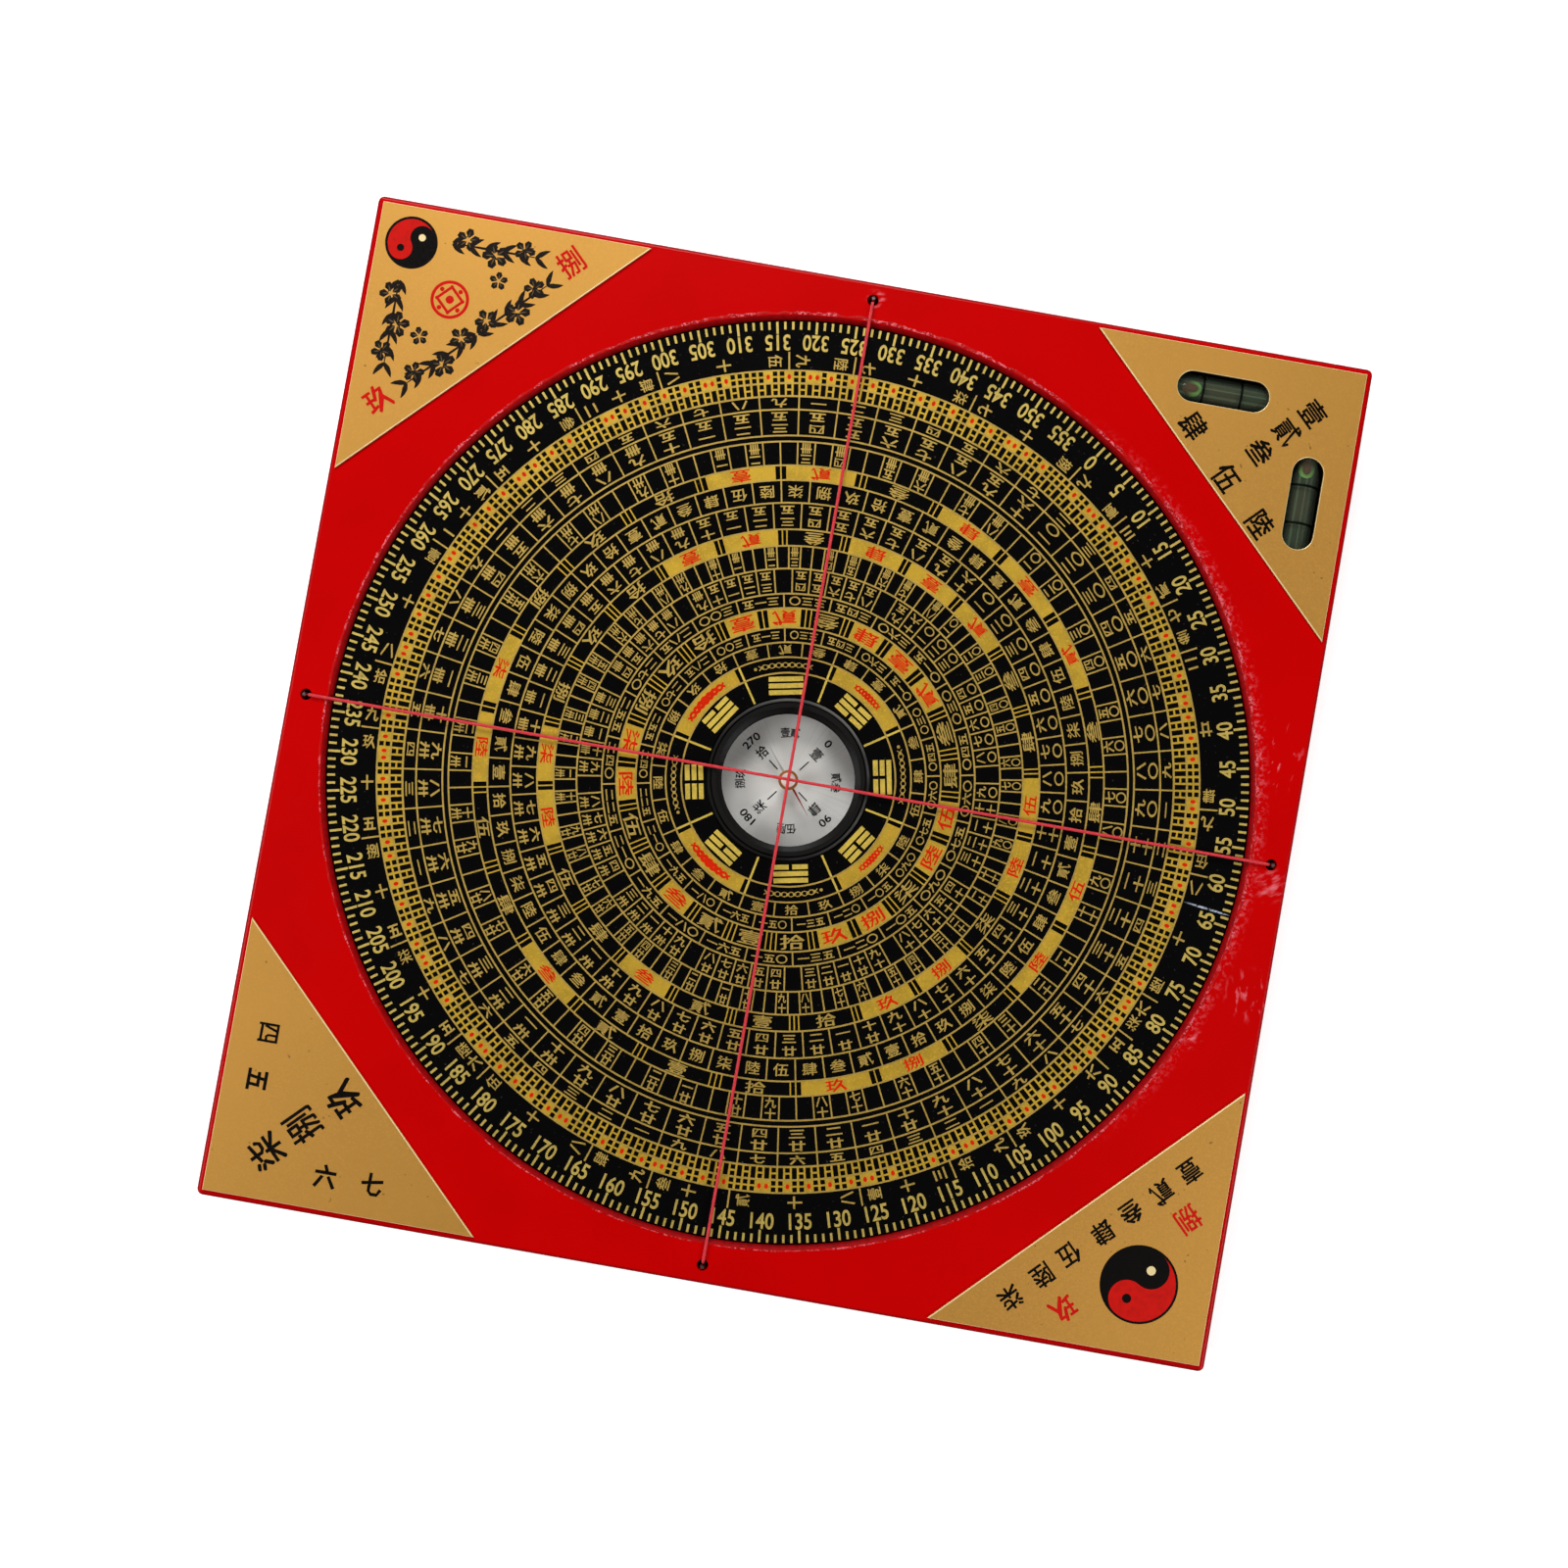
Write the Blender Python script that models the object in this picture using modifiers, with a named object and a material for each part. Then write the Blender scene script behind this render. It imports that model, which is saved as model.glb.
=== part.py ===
"""Square feng shui compass (luopan): a round dial turning in a flat board.

The dial carries a needle capsule in its middle, two crossing threads are strung over it from holes at
the middle of the board's sides, and the top right corner plate shows two level vials.

Run with blender --background --python part.py, or from Blender's text editor.
Metres, +Z up. The origin is the centre of the board's underside and +Y points to the board's top edge.
"""
import math

import bmesh
import bpy

# Fits between pieces
SEAT_GAP = 0.0003
GLUE_LINE = 0.0001
DIAL_RUNNING_GAP = 0.00065
CUT_OVERRUN = 0.0010
MERGE_DISTANCE = 0.000005

# Board: a frame with the round opening, closed by a back panel
BOARD_MARGIN = 0.0090
BOARD_CORNER_RADIUS = 0.0012
BOARD_EDGE_ROUND = 0.0007
BACK_PANEL_T = 0.0040
FRAME_T = 0.0139
RECESS_CHAMFER = 0.0006

# Dial: a thick disc under a thin printed sheet
DIAL_RADIUS = 0.09585
DIAL_DROP = 0.0006
DIAL_TURN_DEG = -33.6
FACE_SHEET_T = 0.0008
FACE_EDGE_BREAK = 0.0001
DISC_EDGE_SETBACK = 0.00025
DISC_EDGE_CHAMFER = 0.0006
DISC_FLOOR_T = 0.0024

# Needle capsule: cup, card, pivot, lens and bezel
WINDOW_RADIUS = 0.0139
FLANGE_T = 0.0018
FLANGE_RISE = 0.0003
FLANGE_EDGE_BREAK = 0.0002
FLANGE_LIP = 0.0006
CUP_WALL = 0.0015
CUP_FLOOR_T = 0.0015
CUP_FOOT_CHAMFER = 0.0005
BEZEL_T = 0.0010
BEZEL_RISE = 0.0004
BEZEL_BAND = 0.0010
BEZEL_STEP = 0.0004
BEZEL_EDGE_BREAK = 0.0001
BEZEL_LAP = 0.0008
LENS_T = 0.0010
LENS_LAP = 0.0011
LENS_EDGE_BREAK = 0.0001
CARD_T = 0.0008
CARD_LAP = 0.0005
CARD_TURN_DEG = -37.5
CARD_HOLE_RADIUS = 0.0018
PIN_FOOT_T = 0.0010
PIN_RADIUS = 0.00045
PIN_CONE = 0.0014
PIN_HEIGHT = 0.0050

# Needle: a lance-shaped blade with an eye, staked on a turned cap
NEEDLE_TURN_DEG = -141.3
NEEDLE_REACH = 0.0088
NEEDLE_HALF_WIDTH = 0.00025
NEEDLE_EYE_RADIUS = 0.00195
NEEDLE_T = 0.00025
CAP_RADIUS = 0.0021
CAP_NECK_RADIUS = 0.00125
CAP_NECK_DROP = 0.0005
CAP_HEAD_T = 0.0017
CAP_BEVEL = 0.0006
CAP_JEWEL_WALL = 0.00035
CAP_PLAY = 0.0002

# Corner plates and the slots in the one over the vials
PLATE_INSET = 0.0013
PLATE_T = 0.0005
PLATE_SLANT_MARGIN = 0.0061
SLOT_LENGTH = 0.0194
SLOT_WIDTH = 0.0065
SLOT_FROM_EDGE = 0.00875
SLOT_FROM_CORNER = 0.0290

# Level vials
VIAL_RADIUS = 0.0035
VIAL_LENGTH = 0.0220
VIAL_WALL = 0.0007
VIAL_END_T = 0.0010
VIAL_TOP_DROP = 0.0003
VIAL_EDGE_BREAK = 0.0003
VIAL_FILM = 0.0001
POCKET_CORNER_RADIUS = 0.0010
PLUG_T = 0.0015
BUBBLE_LENGTH = 0.0040
BUBBLE_WIDTH = 0.0030
BUBBLE_HEIGHT = 0.0014
BUBBLE_CLEARANCE = 0.0002
BUBBLE_A_FROM_END = 0.0017
BUBBLE_B_FROM_END = 0.0003

# Threads and the pegs that jam their ends
HOLE_INSET = 0.0038
HOLE_RADIUS = 0.0012
HOLE_DEPTH = 0.0090
THREAD_RADIUS = 0.00035
THREAD_CLEARANCE = 0.0002
THREAD_TAIL = 0.0060
CROSS_GAP = 0.0002
CROSS_FLAT = 0.0015
PEG_LENGTH = 0.0070
PEG_TOP_DROP = 0.0005
PEG_TAPER = 0.0012
PEG_TIP_SHARE = 0.55
PEG_DOME_SHARE = 0.6

# Facets of round pieces
DIAL_STEPS = 96
CAPSULE_STEPS = 64
SMALL_STEPS = 32
PIN_STEPS = 20
HOLE_STEPS = 24
CORNER_STEPS = 3
BEND_STEPS = 4
EYE_STEPS = 10
BUBBLE_STEPS = 20
SHARP_ANGLE = math.radians(35)

# Heights, worked out from the sizes above
FRAME_BOTTOM = BACK_PANEL_T + GLUE_LINE
BOARD_TOP = FRAME_BOTTOM + FRAME_T
DISC_BOTTOM = BACK_PANEL_T + SEAT_GAP
FACE_TOP = BOARD_TOP - DIAL_DROP
FACE_BOTTOM = FACE_TOP - FACE_SHEET_T
DISC_TOP = FACE_BOTTOM - GLUE_LINE
CUP_SEAT = DISC_BOTTOM + DISC_FLOOR_T
CUP_BOTTOM = CUP_SEAT + SEAT_GAP
CUP_FLOOR = CUP_BOTTOM + CUP_FLOOR_T
FLANGE_TOP = FACE_TOP + FLANGE_RISE
FLANGE_BOTTOM = FLANGE_TOP - FLANGE_T
FLANGE_SEAT = FLANGE_BOTTOM - SEAT_GAP
BEZEL_TOP = FACE_TOP + BEZEL_RISE
BEZEL_BOTTOM = BEZEL_TOP - BEZEL_T
LENS_TOP = BEZEL_BOTTOM - SEAT_GAP
LENS_BOTTOM = LENS_TOP - LENS_T
LENS_SEAT = LENS_BOTTOM - SEAT_GAP
CARD_BOTTOM = CUP_FLOOR + SEAT_GAP
CARD_TOP = CARD_BOTTOM + CARD_T
PIN_BOTTOM = CUP_FLOOR + SEAT_GAP
PIN_TIP = PIN_BOTTOM + PIN_HEIGHT
JEWEL_APEX = PIN_TIP + CAP_PLAY
CAP_TOP = JEWEL_APEX + CAP_BEVEL
CAP_SHOULDER = CAP_TOP - CAP_HEAD_T
BLADE_TOP = CAP_SHOULDER - GLUE_LINE
BLADE_BOTTOM = BLADE_TOP - NEEDLE_T
CAP_BOTTOM = BLADE_BOTTOM - CAP_NECK_DROP
PLATE_BOTTOM = BOARD_TOP + GLUE_LINE
VIAL_AXIS = BOARD_TOP - VIAL_TOP_DROP - VIAL_RADIUS
THREAD_LIFT = THREAD_RADIUS + THREAD_CLEARANCE

# Radii and places, worked out from the sizes above
RECESS_RADIUS = DIAL_RADIUS + DIAL_RUNNING_GAP
BOARD_SIDE = 2 * (RECESS_RADIUS + BOARD_MARGIN)
DISC_RADIUS = DIAL_RADIUS - DISC_EDGE_SETBACK
CUP_BORE_RADIUS = WINDOW_RADIUS + CARD_LAP
CUP_RADIUS = CUP_BORE_RADIUS + CUP_WALL
LENS_SEAT_RADIUS = CUP_BORE_RADIUS + LENS_LAP
LENS_RADIUS = LENS_SEAT_RADIUS - SEAT_GAP
BEZEL_SEAT_RADIUS = LENS_SEAT_RADIUS + BEZEL_LAP
BEZEL_RADIUS = BEZEL_SEAT_RADIUS - SEAT_GAP
FLANGE_RADIUS = BEZEL_SEAT_RADIUS + FLANGE_LIP
CUP_SEAT_RADIUS = CUP_RADIUS + SEAT_GAP
FLANGE_SEAT_RADIUS = FLANGE_RADIUS + SEAT_GAP
CARD_RADIUS = CUP_BORE_RADIUS - SEAT_GAP
PIN_FOOT_RADIUS = CARD_HOLE_RADIUS - SEAT_GAP
BLADE_HOLE_RADIUS = CAP_NECK_RADIUS + GLUE_LINE
PLATE_CORNER = BOARD_SIDE / 2 - PLATE_INSET
PLATE_LEG = SLOT_FROM_CORNER + SLOT_LENGTH / 2 + SLOT_FROM_EDGE + SLOT_WIDTH / 2 + PLATE_SLANT_MARGIN
HOLE_PLACE = BOARD_SIDE / 2 - HOLE_INSET
PEG_RADIUS = HOLE_RADIUS - THREAD_RADIUS - 1.5 * THREAD_CLEARANCE
VIAL_BORE_RADIUS = VIAL_RADIUS - VIAL_WALL
BUBBLE_AXIS = VIAL_BORE_RADIUS - VIAL_FILM - BUBBLE_HEIGHT / 2

# Colours (linear) of the finished pieces
RED_LACQUER = (0.56, 0.004, 0.006)
RED_BACK = (0.36, 0.006, 0.008)
GOLD_PLATE = (0.58, 0.34, 0.11)
DIAL_BLACK = (0.008, 0.008, 0.009)
CORE_BLACK = (0.016, 0.014, 0.014)
CAPSULE_BLACK = (0.012, 0.012, 0.013)
CARD_SILVER = (0.62, 0.62, 0.63)
BRASS = (0.70, 0.42, 0.13)
STEEL = (0.55, 0.53, 0.50)
CLEAR = (0.90, 0.93, 0.92)
NEEDLE_RED = (0.52, 0.01, 0.02)
THREAD_RED = (0.72, 0.015, 0.03)
FLUID_GREEN = (0.03, 0.09, 0.03)
BUBBLE_GREEN = (0.35, 0.75, 0.22)
PLUG_GREEN = (0.02, 0.03, 0.02)

# Directions of the sides and turns of the corner plates, in degrees about +Z
SIDES = {"right": 0, "top": 90, "left": 180, "bottom": 270}
CORNERS = {"tr": 0, "tl": 90, "bl": 180, "br": 270}


def clear_scene():
    """Remove what the file opened with."""
    for obj in list(bpy.data.objects):
        bpy.data.objects.remove(obj, do_unlink=True)


def new_collection(name):
    """Return a new collection of that name in the scene."""
    collection = bpy.data.collections.new(name)
    bpy.context.scene.collection.children.link(collection)
    return collection


def material(name, colour, roughness, metallic=0.0, alpha=1.0):
    """Return a Principled material."""
    mat = bpy.data.materials.new(name)
    mat.use_nodes = True
    shader = mat.node_tree.nodes["Principled BSDF"]
    shader.inputs["Base Color"].default_value = (*colour, 1.0)
    shader.inputs["Roughness"].default_value = roughness
    shader.inputs["Metallic"].default_value = metallic
    shader.inputs["Alpha"].default_value = alpha
    mat.diffuse_color = (*colour, alpha)
    return mat


def empty(name, collection, location, turn_deg=0.0):
    """Add an empty turned about +Z, for pieces that share an axis."""
    obj = bpy.data.objects.new(name, None)
    obj.location = location
    obj.rotation_euler[2] = math.radians(turn_deg)
    collection.objects.link(obj)
    return obj


def place(obj, location=(0, 0, 0), rotation=(0, 0, 0), parent=None):
    """Set an object's place under its parent."""
    obj.location = location
    obj.rotation_euler = rotation
    obj.parent = parent
    return obj


def finish_mesh(obj, mat):
    """Turn an object's modifiers or curve into a closed mesh, shaded smooth with sharp edges."""
    bpy.context.view_layer.update()
    graph = bpy.context.evaluated_depsgraph_get()
    mesh = bpy.data.meshes.new_from_object(obj.evaluated_get(graph))
    mesh.name = obj.name
    weld = bmesh.new()
    weld.from_mesh(mesh)
    bmesh.ops.remove_doubles(weld, verts=weld.verts, dist=MERGE_DISTANCE)
    weld.to_mesh(mesh)
    weld.free()
    mesh.materials.clear()
    mesh.materials.append(mat)
    mesh.shade_smooth()
    mesh.set_sharp_from_angle(angle=SHARP_ANGLE)
    name, collection, matrix = obj.name, obj.users_collection[0], obj.matrix_world.copy()
    bpy.data.objects.remove(obj, do_unlink=True)
    done = bpy.data.objects.new(name, mesh)
    done.matrix_world = matrix
    collection.objects.link(done)
    return done


def turned(name, collection, profile, steps, mat, closed=False):
    """Revolve (radius, height) points, which run down the outer side, about +Z."""
    mesh = bpy.data.meshes.new(name)
    line = bmesh.new()
    points = [line.verts.new((radius, 0, height)) for radius, height in profile]
    for start, end in zip(points, points[1:]):
        line.edges.new((start, end))
    if closed:
        line.edges.new((points[-1], points[0]))
    line.to_mesh(mesh)
    line.free()
    obj = bpy.data.objects.new(name, mesh)
    collection.objects.link(obj)
    screw = obj.modifiers.new("Turn", "SCREW")
    screw.steps = steps
    screw.render_steps = steps
    screw.use_merge_vertices = True
    screw.merge_threshold = MERGE_DISTANCE
    return finish_mesh(obj, mat)


def flat_piece(name, collection, outlines, thickness, mat):
    """Extrude flat outlines, the later ones being holes, by half the thickness each way."""
    curve = bpy.data.curves.new(name, "CURVE")
    curve.dimensions = "2D"
    curve.fill_mode = "BOTH"
    curve.extrude = thickness / 2
    for outline in outlines:
        spline = curve.splines.new("POLY")
        spline.points.add(len(outline) - 1)
        for point, (x, y) in zip(spline.points, outline):
            point.co = (x, y, 0, 1)
        spline.use_cyclic_u = True
    obj = bpy.data.objects.new(name, curve)
    collection.objects.link(obj)
    return finish_mesh(obj, mat)


def rounded_slab(name, collection, side_x, side_y, bottom, top, corner, mat, edge=0.0, edge_up=True):
    """Add a box on the Z axis with round vertical edges and, if asked, round edges at one face."""
    mesh = bpy.data.meshes.new(name)
    slab = bmesh.new()
    bmesh.ops.create_cube(slab, size=1)
    bmesh.ops.scale(slab, vec=(side_x, side_y, top - bottom), verts=slab.verts)
    bmesh.ops.translate(slab, vec=(0, 0, (top + bottom) / 2), verts=slab.verts)
    uprights = [e for e in slab.edges if e.verts[0].co.z != e.verts[1].co.z]
    bmesh.ops.bevel(slab, geom=uprights, offset=corner, segments=CORNER_STEPS, affect="EDGES", profile=0.5)
    if edge:
        middle = (top + bottom) / 2
        rim = [e for e in slab.edges if all((v.co.z > middle) == edge_up for v in e.verts)]
        bmesh.ops.bevel(slab, geom=rim, offset=edge, segments=CORNER_STEPS, affect="EDGES", profile=0.5)
    slab.to_mesh(mesh)
    slab.free()
    mesh.materials.append(mat)
    obj = bpy.data.objects.new(name, mesh)
    collection.objects.link(obj)
    return obj


def cut(obj, cutter):
    """Subtract a cutter, which stays hidden in its own collection."""
    cutter.hide_render = True
    cutter.display_type = "WIRE"
    boolean = obj.modifiers.new("Cut " + cutter.name, "BOOLEAN")
    boolean.operation = "DIFFERENCE"
    boolean.solver = "EXACT"
    boolean.object = cutter


def arc(centre_x, centre_y, radius, start_deg, end_deg, steps):
    """Return points along an arc, both ends included."""
    angles = [math.radians(start_deg + (end_deg - start_deg) * i / steps) for i in range(steps + 1)]
    return [(centre_x + radius * math.cos(a), centre_y + radius * math.sin(a)) for a in angles]


def stadium(centre_x, centre_y, length, width, upright):
    """Return the outline of a slot with round ends."""
    radius = width / 2
    reach = (length - width) / 2
    steps = SMALL_STEPS // 2
    if upright:
        head = arc(centre_x, centre_y + reach, radius, 0, 180, steps)
        return head + arc(centre_x, centre_y - reach, radius, 180, 360, steps)
    head = arc(centre_x + reach, centre_y, radius, -90, 90, steps)
    return head + arc(centre_x - reach, centre_y, radius, 90, 270, steps)


def vial_places():
    """Return the middle of each vial and the direction, about +Z, in which its plug lies."""
    near = PLATE_CORNER - SLOT_FROM_EDGE
    far = PLATE_CORNER - SLOT_FROM_CORNER
    return {"a": (far, near, 0, BUBBLE_A_FROM_END), "b": (near, far, -90, BUBBLE_B_FROM_END)}


def make_board(parts, cutters):
    """Add the frame with its recess, vial pockets and thread holes, and the back panel."""
    red = material("red_lacquer", RED_LACQUER, 0.34)
    back = material("back_panel", RED_BACK, 0.45)
    side = BOARD_SIDE
    corner = BOARD_CORNER_RADIUS
    edge = BOARD_EDGE_ROUND
    rounded_slab("back_panel", parts, side, side, 0, BACK_PANEL_T, corner, back, edge, edge_up=False)
    frame = rounded_slab("base_frame", parts, side, side, FRAME_BOTTOM, BOARD_TOP, corner, red, edge)

    mouth = RECESS_RADIUS + RECESS_CHAMFER + CUT_OVERRUN
    recess = [
        (0, BOARD_TOP + CUT_OVERRUN),
        (mouth, BOARD_TOP + CUT_OVERRUN),
        (RECESS_RADIUS, BOARD_TOP - RECESS_CHAMFER),
        (RECESS_RADIUS, FRAME_BOTTOM - CUT_OVERRUN),
        (0, FRAME_BOTTOM - CUT_OVERRUN),
    ]
    cut(frame, turned("cut_recess", cutters, recess, DIAL_STEPS, red))

    pocket_floor = VIAL_AXIS - VIAL_RADIUS - SEAT_GAP
    pocket_length = VIAL_LENGTH + 2 * SEAT_GAP
    pocket_width = 2 * VIAL_RADIUS + 2 * SEAT_GAP
    for key, (x, y, turn, _) in vial_places().items():
        pocket = rounded_slab(
            "cut_pocket_" + key,
            cutters,
            pocket_length,
            pocket_width,
            pocket_floor,
            BOARD_TOP + CUT_OVERRUN,
            POCKET_CORNER_RADIUS,
            red,
        )
        place(pocket, (x, y, 0), (0, 0, math.radians(turn)))
        cut(frame, pocket)

    hole = [
        (0, BOARD_TOP + CUT_OVERRUN),
        (HOLE_RADIUS, BOARD_TOP + CUT_OVERRUN),
        (HOLE_RADIUS, BOARD_TOP - HOLE_DEPTH),
        (0, BOARD_TOP - HOLE_DEPTH),
    ]
    for name, turn in SIDES.items():
        drill = turned("cut_hole_" + name, cutters, hole, HOLE_STEPS, red)
        angle = math.radians(turn)
        place(drill, (HOLE_PLACE * math.cos(angle), HOLE_PLACE * math.sin(angle), 0))
        cut(frame, drill)


def make_corner_plates(parts):
    """Add the four corner plates, the top right one with a slot over each vial."""
    gold = material("gold_plate", GOLD_PLATE, 0.42, 0.55)
    for name, turn in CORNERS.items():
        outlines = [[(0, 0), (-PLATE_LEG, 0), (0, -PLATE_LEG)]]
        if name == "tr":
            outlines.append(stadium(-SLOT_FROM_CORNER, -SLOT_FROM_EDGE, SLOT_LENGTH, SLOT_WIDTH, False))
            outlines.append(stadium(-SLOT_FROM_EDGE, -SLOT_FROM_CORNER, SLOT_LENGTH, SLOT_WIDTH, True))
        plate = flat_piece("corner_plate_" + name, parts, outlines, PLATE_T, gold)
        pivot = empty("corner_" + name, parts, (0, 0, 0), turn)
        place(plate, (PLATE_CORNER, PLATE_CORNER, PLATE_BOTTOM + PLATE_T / 2), parent=pivot)


def make_vial(parts, key, x, y, turn, bubble_from_end, mats):
    """Add one level vial, lying along its holder's +X, with its plug at the +X end."""
    glass, fluid_mat, bubble_mat, plug_mat = mats
    holder = empty("vial_" + key, parts, (x, y, VIAL_AXIS), turn)
    lying = (0, math.radians(90), 0)
    half = VIAL_LENGTH / 2
    bore = VIAL_BORE_RADIUS
    tube = [
        (bore, half),
        (VIAL_RADIUS - VIAL_EDGE_BREAK, half),
        (VIAL_RADIUS, half - VIAL_EDGE_BREAK),
        (VIAL_RADIUS, VIAL_EDGE_BREAK - half),
        (VIAL_RADIUS - VIAL_EDGE_BREAK, -half),
        (0, -half),
    ]
    inside = [(0, VIAL_END_T - half), (bore, VIAL_END_T - half)]
    profile = inside + tube
    place(turned("vial_tube_" + key, parts, profile, SMALL_STEPS, glass), rotation=lying, parent=holder)

    plug = [
        (0, half),
        (bore - VIAL_FILM - VIAL_EDGE_BREAK, half),
        (bore - VIAL_FILM, half - VIAL_EDGE_BREAK),
        (bore - VIAL_FILM, half - PLUG_T),
        (0, half - PLUG_T),
    ]
    place(turned("vial_plug_" + key, parts, plug, SMALL_STEPS, plug_mat), rotation=lying, parent=holder)

    start = VIAL_END_T - half + VIAL_FILM
    end = half - PLUG_T - VIAL_FILM
    radius = bore - VIAL_FILM
    trough = BUBBLE_WIDTH / 2 + BUBBLE_CLEARANCE
    floor = BUBBLE_AXIS - BUBBLE_HEIGHT / 2 - BUBBLE_CLEARANCE
    lip_deg = math.degrees(math.acos(trough / radius))
    section = arc(0, 0, radius, lip_deg, -180 - lip_deg, SMALL_STEPS) + [(-trough, floor), (trough, floor)]
    fluid = flat_piece("vial_fluid_" + key, parts, [section], end - start, fluid_mat)
    lying_along = (math.radians(90), 0, math.radians(90))
    place(fluid, ((start + end) / 2, 0, 0), lying_along, holder)

    mesh = bpy.data.meshes.new("vial_bubble_" + key)
    ball = bmesh.new()
    bmesh.ops.create_uvsphere(ball, u_segments=BUBBLE_STEPS, v_segments=BUBBLE_STEPS // 2, radius=1)
    bmesh.ops.scale(ball, vec=(BUBBLE_WIDTH / 2, BUBBLE_HEIGHT / 2, BUBBLE_LENGTH / 2), verts=ball.verts)
    ball.to_mesh(mesh)
    ball.free()
    mesh.materials.append(bubble_mat)
    mesh.shade_smooth()
    bubble = bpy.data.objects.new(mesh.name, mesh)
    parts.objects.link(bubble)
    rest = VIAL_END_T - half + bubble_from_end + BUBBLE_LENGTH / 2
    place(bubble, (rest, 0, BUBBLE_AXIS), lying_along, holder)


def make_vials(parts):
    """Add both level vials."""
    mats = (
        material("vial_glass", CLEAR, 0.06, alpha=0.35),
        material("vial_fluid", FLUID_GREEN, 0.12, alpha=0.85),
        material("vial_bubble", BUBBLE_GREEN, 0.08),
        material("vial_plug", PLUG_GREEN, 0.5),
    )
    for key, (x, y, turn, bubble_from_end) in vial_places().items():
        make_vial(parts, key, x, y, turn, bubble_from_end, mats)


def make_dial(parts):
    """Add the dial's disc, with its stepped seat for the capsule, and the printed sheet on it."""
    core = material("dial_core", CORE_BLACK, 0.5)
    face = material("dial_face", DIAL_BLACK, 0.32)
    pivot = empty("dial_axis", parts, (0, 0, 0), DIAL_TURN_DEG)
    disc = [
        (0, CUP_SEAT),
        (CUP_SEAT_RADIUS, CUP_SEAT),
        (CUP_SEAT_RADIUS, FLANGE_SEAT),
        (FLANGE_SEAT_RADIUS, FLANGE_SEAT),
        (FLANGE_SEAT_RADIUS, DISC_TOP),
        (DISC_RADIUS, DISC_TOP),
        (DISC_RADIUS, DISC_BOTTOM + DISC_EDGE_CHAMFER),
        (DISC_RADIUS - DISC_EDGE_CHAMFER, DISC_BOTTOM),
        (0, DISC_BOTTOM),
    ]
    place(turned("dial_disc", parts, disc, DIAL_STEPS, core), parent=pivot)
    sheet = [
        (FLANGE_SEAT_RADIUS, FACE_TOP),
        (DIAL_RADIUS - FACE_EDGE_BREAK, FACE_TOP),
        (DIAL_RADIUS, FACE_TOP - FACE_EDGE_BREAK),
        (DIAL_RADIUS, FACE_BOTTOM),
        (FLANGE_SEAT_RADIUS, FACE_BOTTOM),
    ]
    place(turned("dial_face", parts, sheet, DIAL_STEPS, face, closed=True), parent=pivot)
    return pivot


def make_capsule(parts, dial):
    """Add the capsule's cup, card, pivot pin, lens and bezel, turned on one axis."""
    black = material("capsule_black", CAPSULE_BLACK, 0.28)
    steps = CAPSULE_STEPS
    cup = [
        (0, CUP_FLOOR),
        (CUP_BORE_RADIUS, CUP_FLOOR),
        (CUP_BORE_RADIUS, LENS_SEAT),
        (LENS_SEAT_RADIUS, LENS_SEAT),
        (LENS_SEAT_RADIUS, LENS_TOP),
        (BEZEL_SEAT_RADIUS, LENS_TOP),
        (BEZEL_SEAT_RADIUS, FLANGE_TOP),
        (FLANGE_RADIUS - FLANGE_EDGE_BREAK, FLANGE_TOP),
        (FLANGE_RADIUS, FLANGE_TOP - FLANGE_EDGE_BREAK),
        (FLANGE_RADIUS, FLANGE_BOTTOM),
        (CUP_RADIUS, FLANGE_BOTTOM),
        (CUP_RADIUS, CUP_BOTTOM + CUP_FOOT_CHAMFER),
        (CUP_RADIUS - CUP_FOOT_CHAMFER, CUP_BOTTOM),
        (0, CUP_BOTTOM),
    ]
    place(turned("capsule_cup", parts, cup, steps, black), parent=dial)
    bezel = [
        (BEZEL_RADIUS - BEZEL_BAND, BEZEL_TOP),
        (BEZEL_RADIUS - BEZEL_EDGE_BREAK, BEZEL_TOP),
        (BEZEL_RADIUS, BEZEL_TOP - BEZEL_EDGE_BREAK),
        (BEZEL_RADIUS, BEZEL_BOTTOM),
        (WINDOW_RADIUS, BEZEL_BOTTOM),
        (BEZEL_RADIUS - BEZEL_BAND, BEZEL_TOP - BEZEL_STEP),
    ]
    place(turned("capsule_bezel", parts, bezel, steps, black, closed=True), parent=dial)
    lens = [
        (0, LENS_TOP),
        (LENS_RADIUS - LENS_EDGE_BREAK, LENS_TOP),
        (LENS_RADIUS, LENS_TOP - LENS_EDGE_BREAK),
        (LENS_RADIUS, LENS_BOTTOM),
        (0, LENS_BOTTOM),
    ]
    clear = material("capsule_lens", CLEAR, 0.03, alpha=0.2)
    place(turned("capsule_lens", parts, lens, steps, clear), parent=dial)

    card = [
        (CARD_HOLE_RADIUS, CARD_TOP),
        (CARD_RADIUS, CARD_TOP),
        (CARD_RADIUS, CARD_BOTTOM),
        (CARD_HOLE_RADIUS, CARD_BOTTOM),
    ]
    silver = material("card_silver", CARD_SILVER, 0.38, 0.2)
    card_turn = math.radians(CARD_TURN_DEG - DIAL_TURN_DEG)
    plain_card = turned("capsule_card", parts, card, steps, silver, closed=True)
    place(plain_card, rotation=(0, 0, card_turn), parent=dial)
    pin = [
        (0, PIN_TIP),
        (PIN_RADIUS, PIN_TIP - PIN_CONE),
        (PIN_RADIUS, PIN_BOTTOM + PIN_FOOT_T),
        (PIN_FOOT_RADIUS, PIN_BOTTOM + PIN_FOOT_T),
        (PIN_FOOT_RADIUS, PIN_BOTTOM),
        (0, PIN_BOTTOM),
    ]
    steel = material("pin_steel", STEEL, 0.25, 0.9)
    place(turned("pivot_pin", parts, pin, PIN_STEPS, steel), parent=dial)


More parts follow.
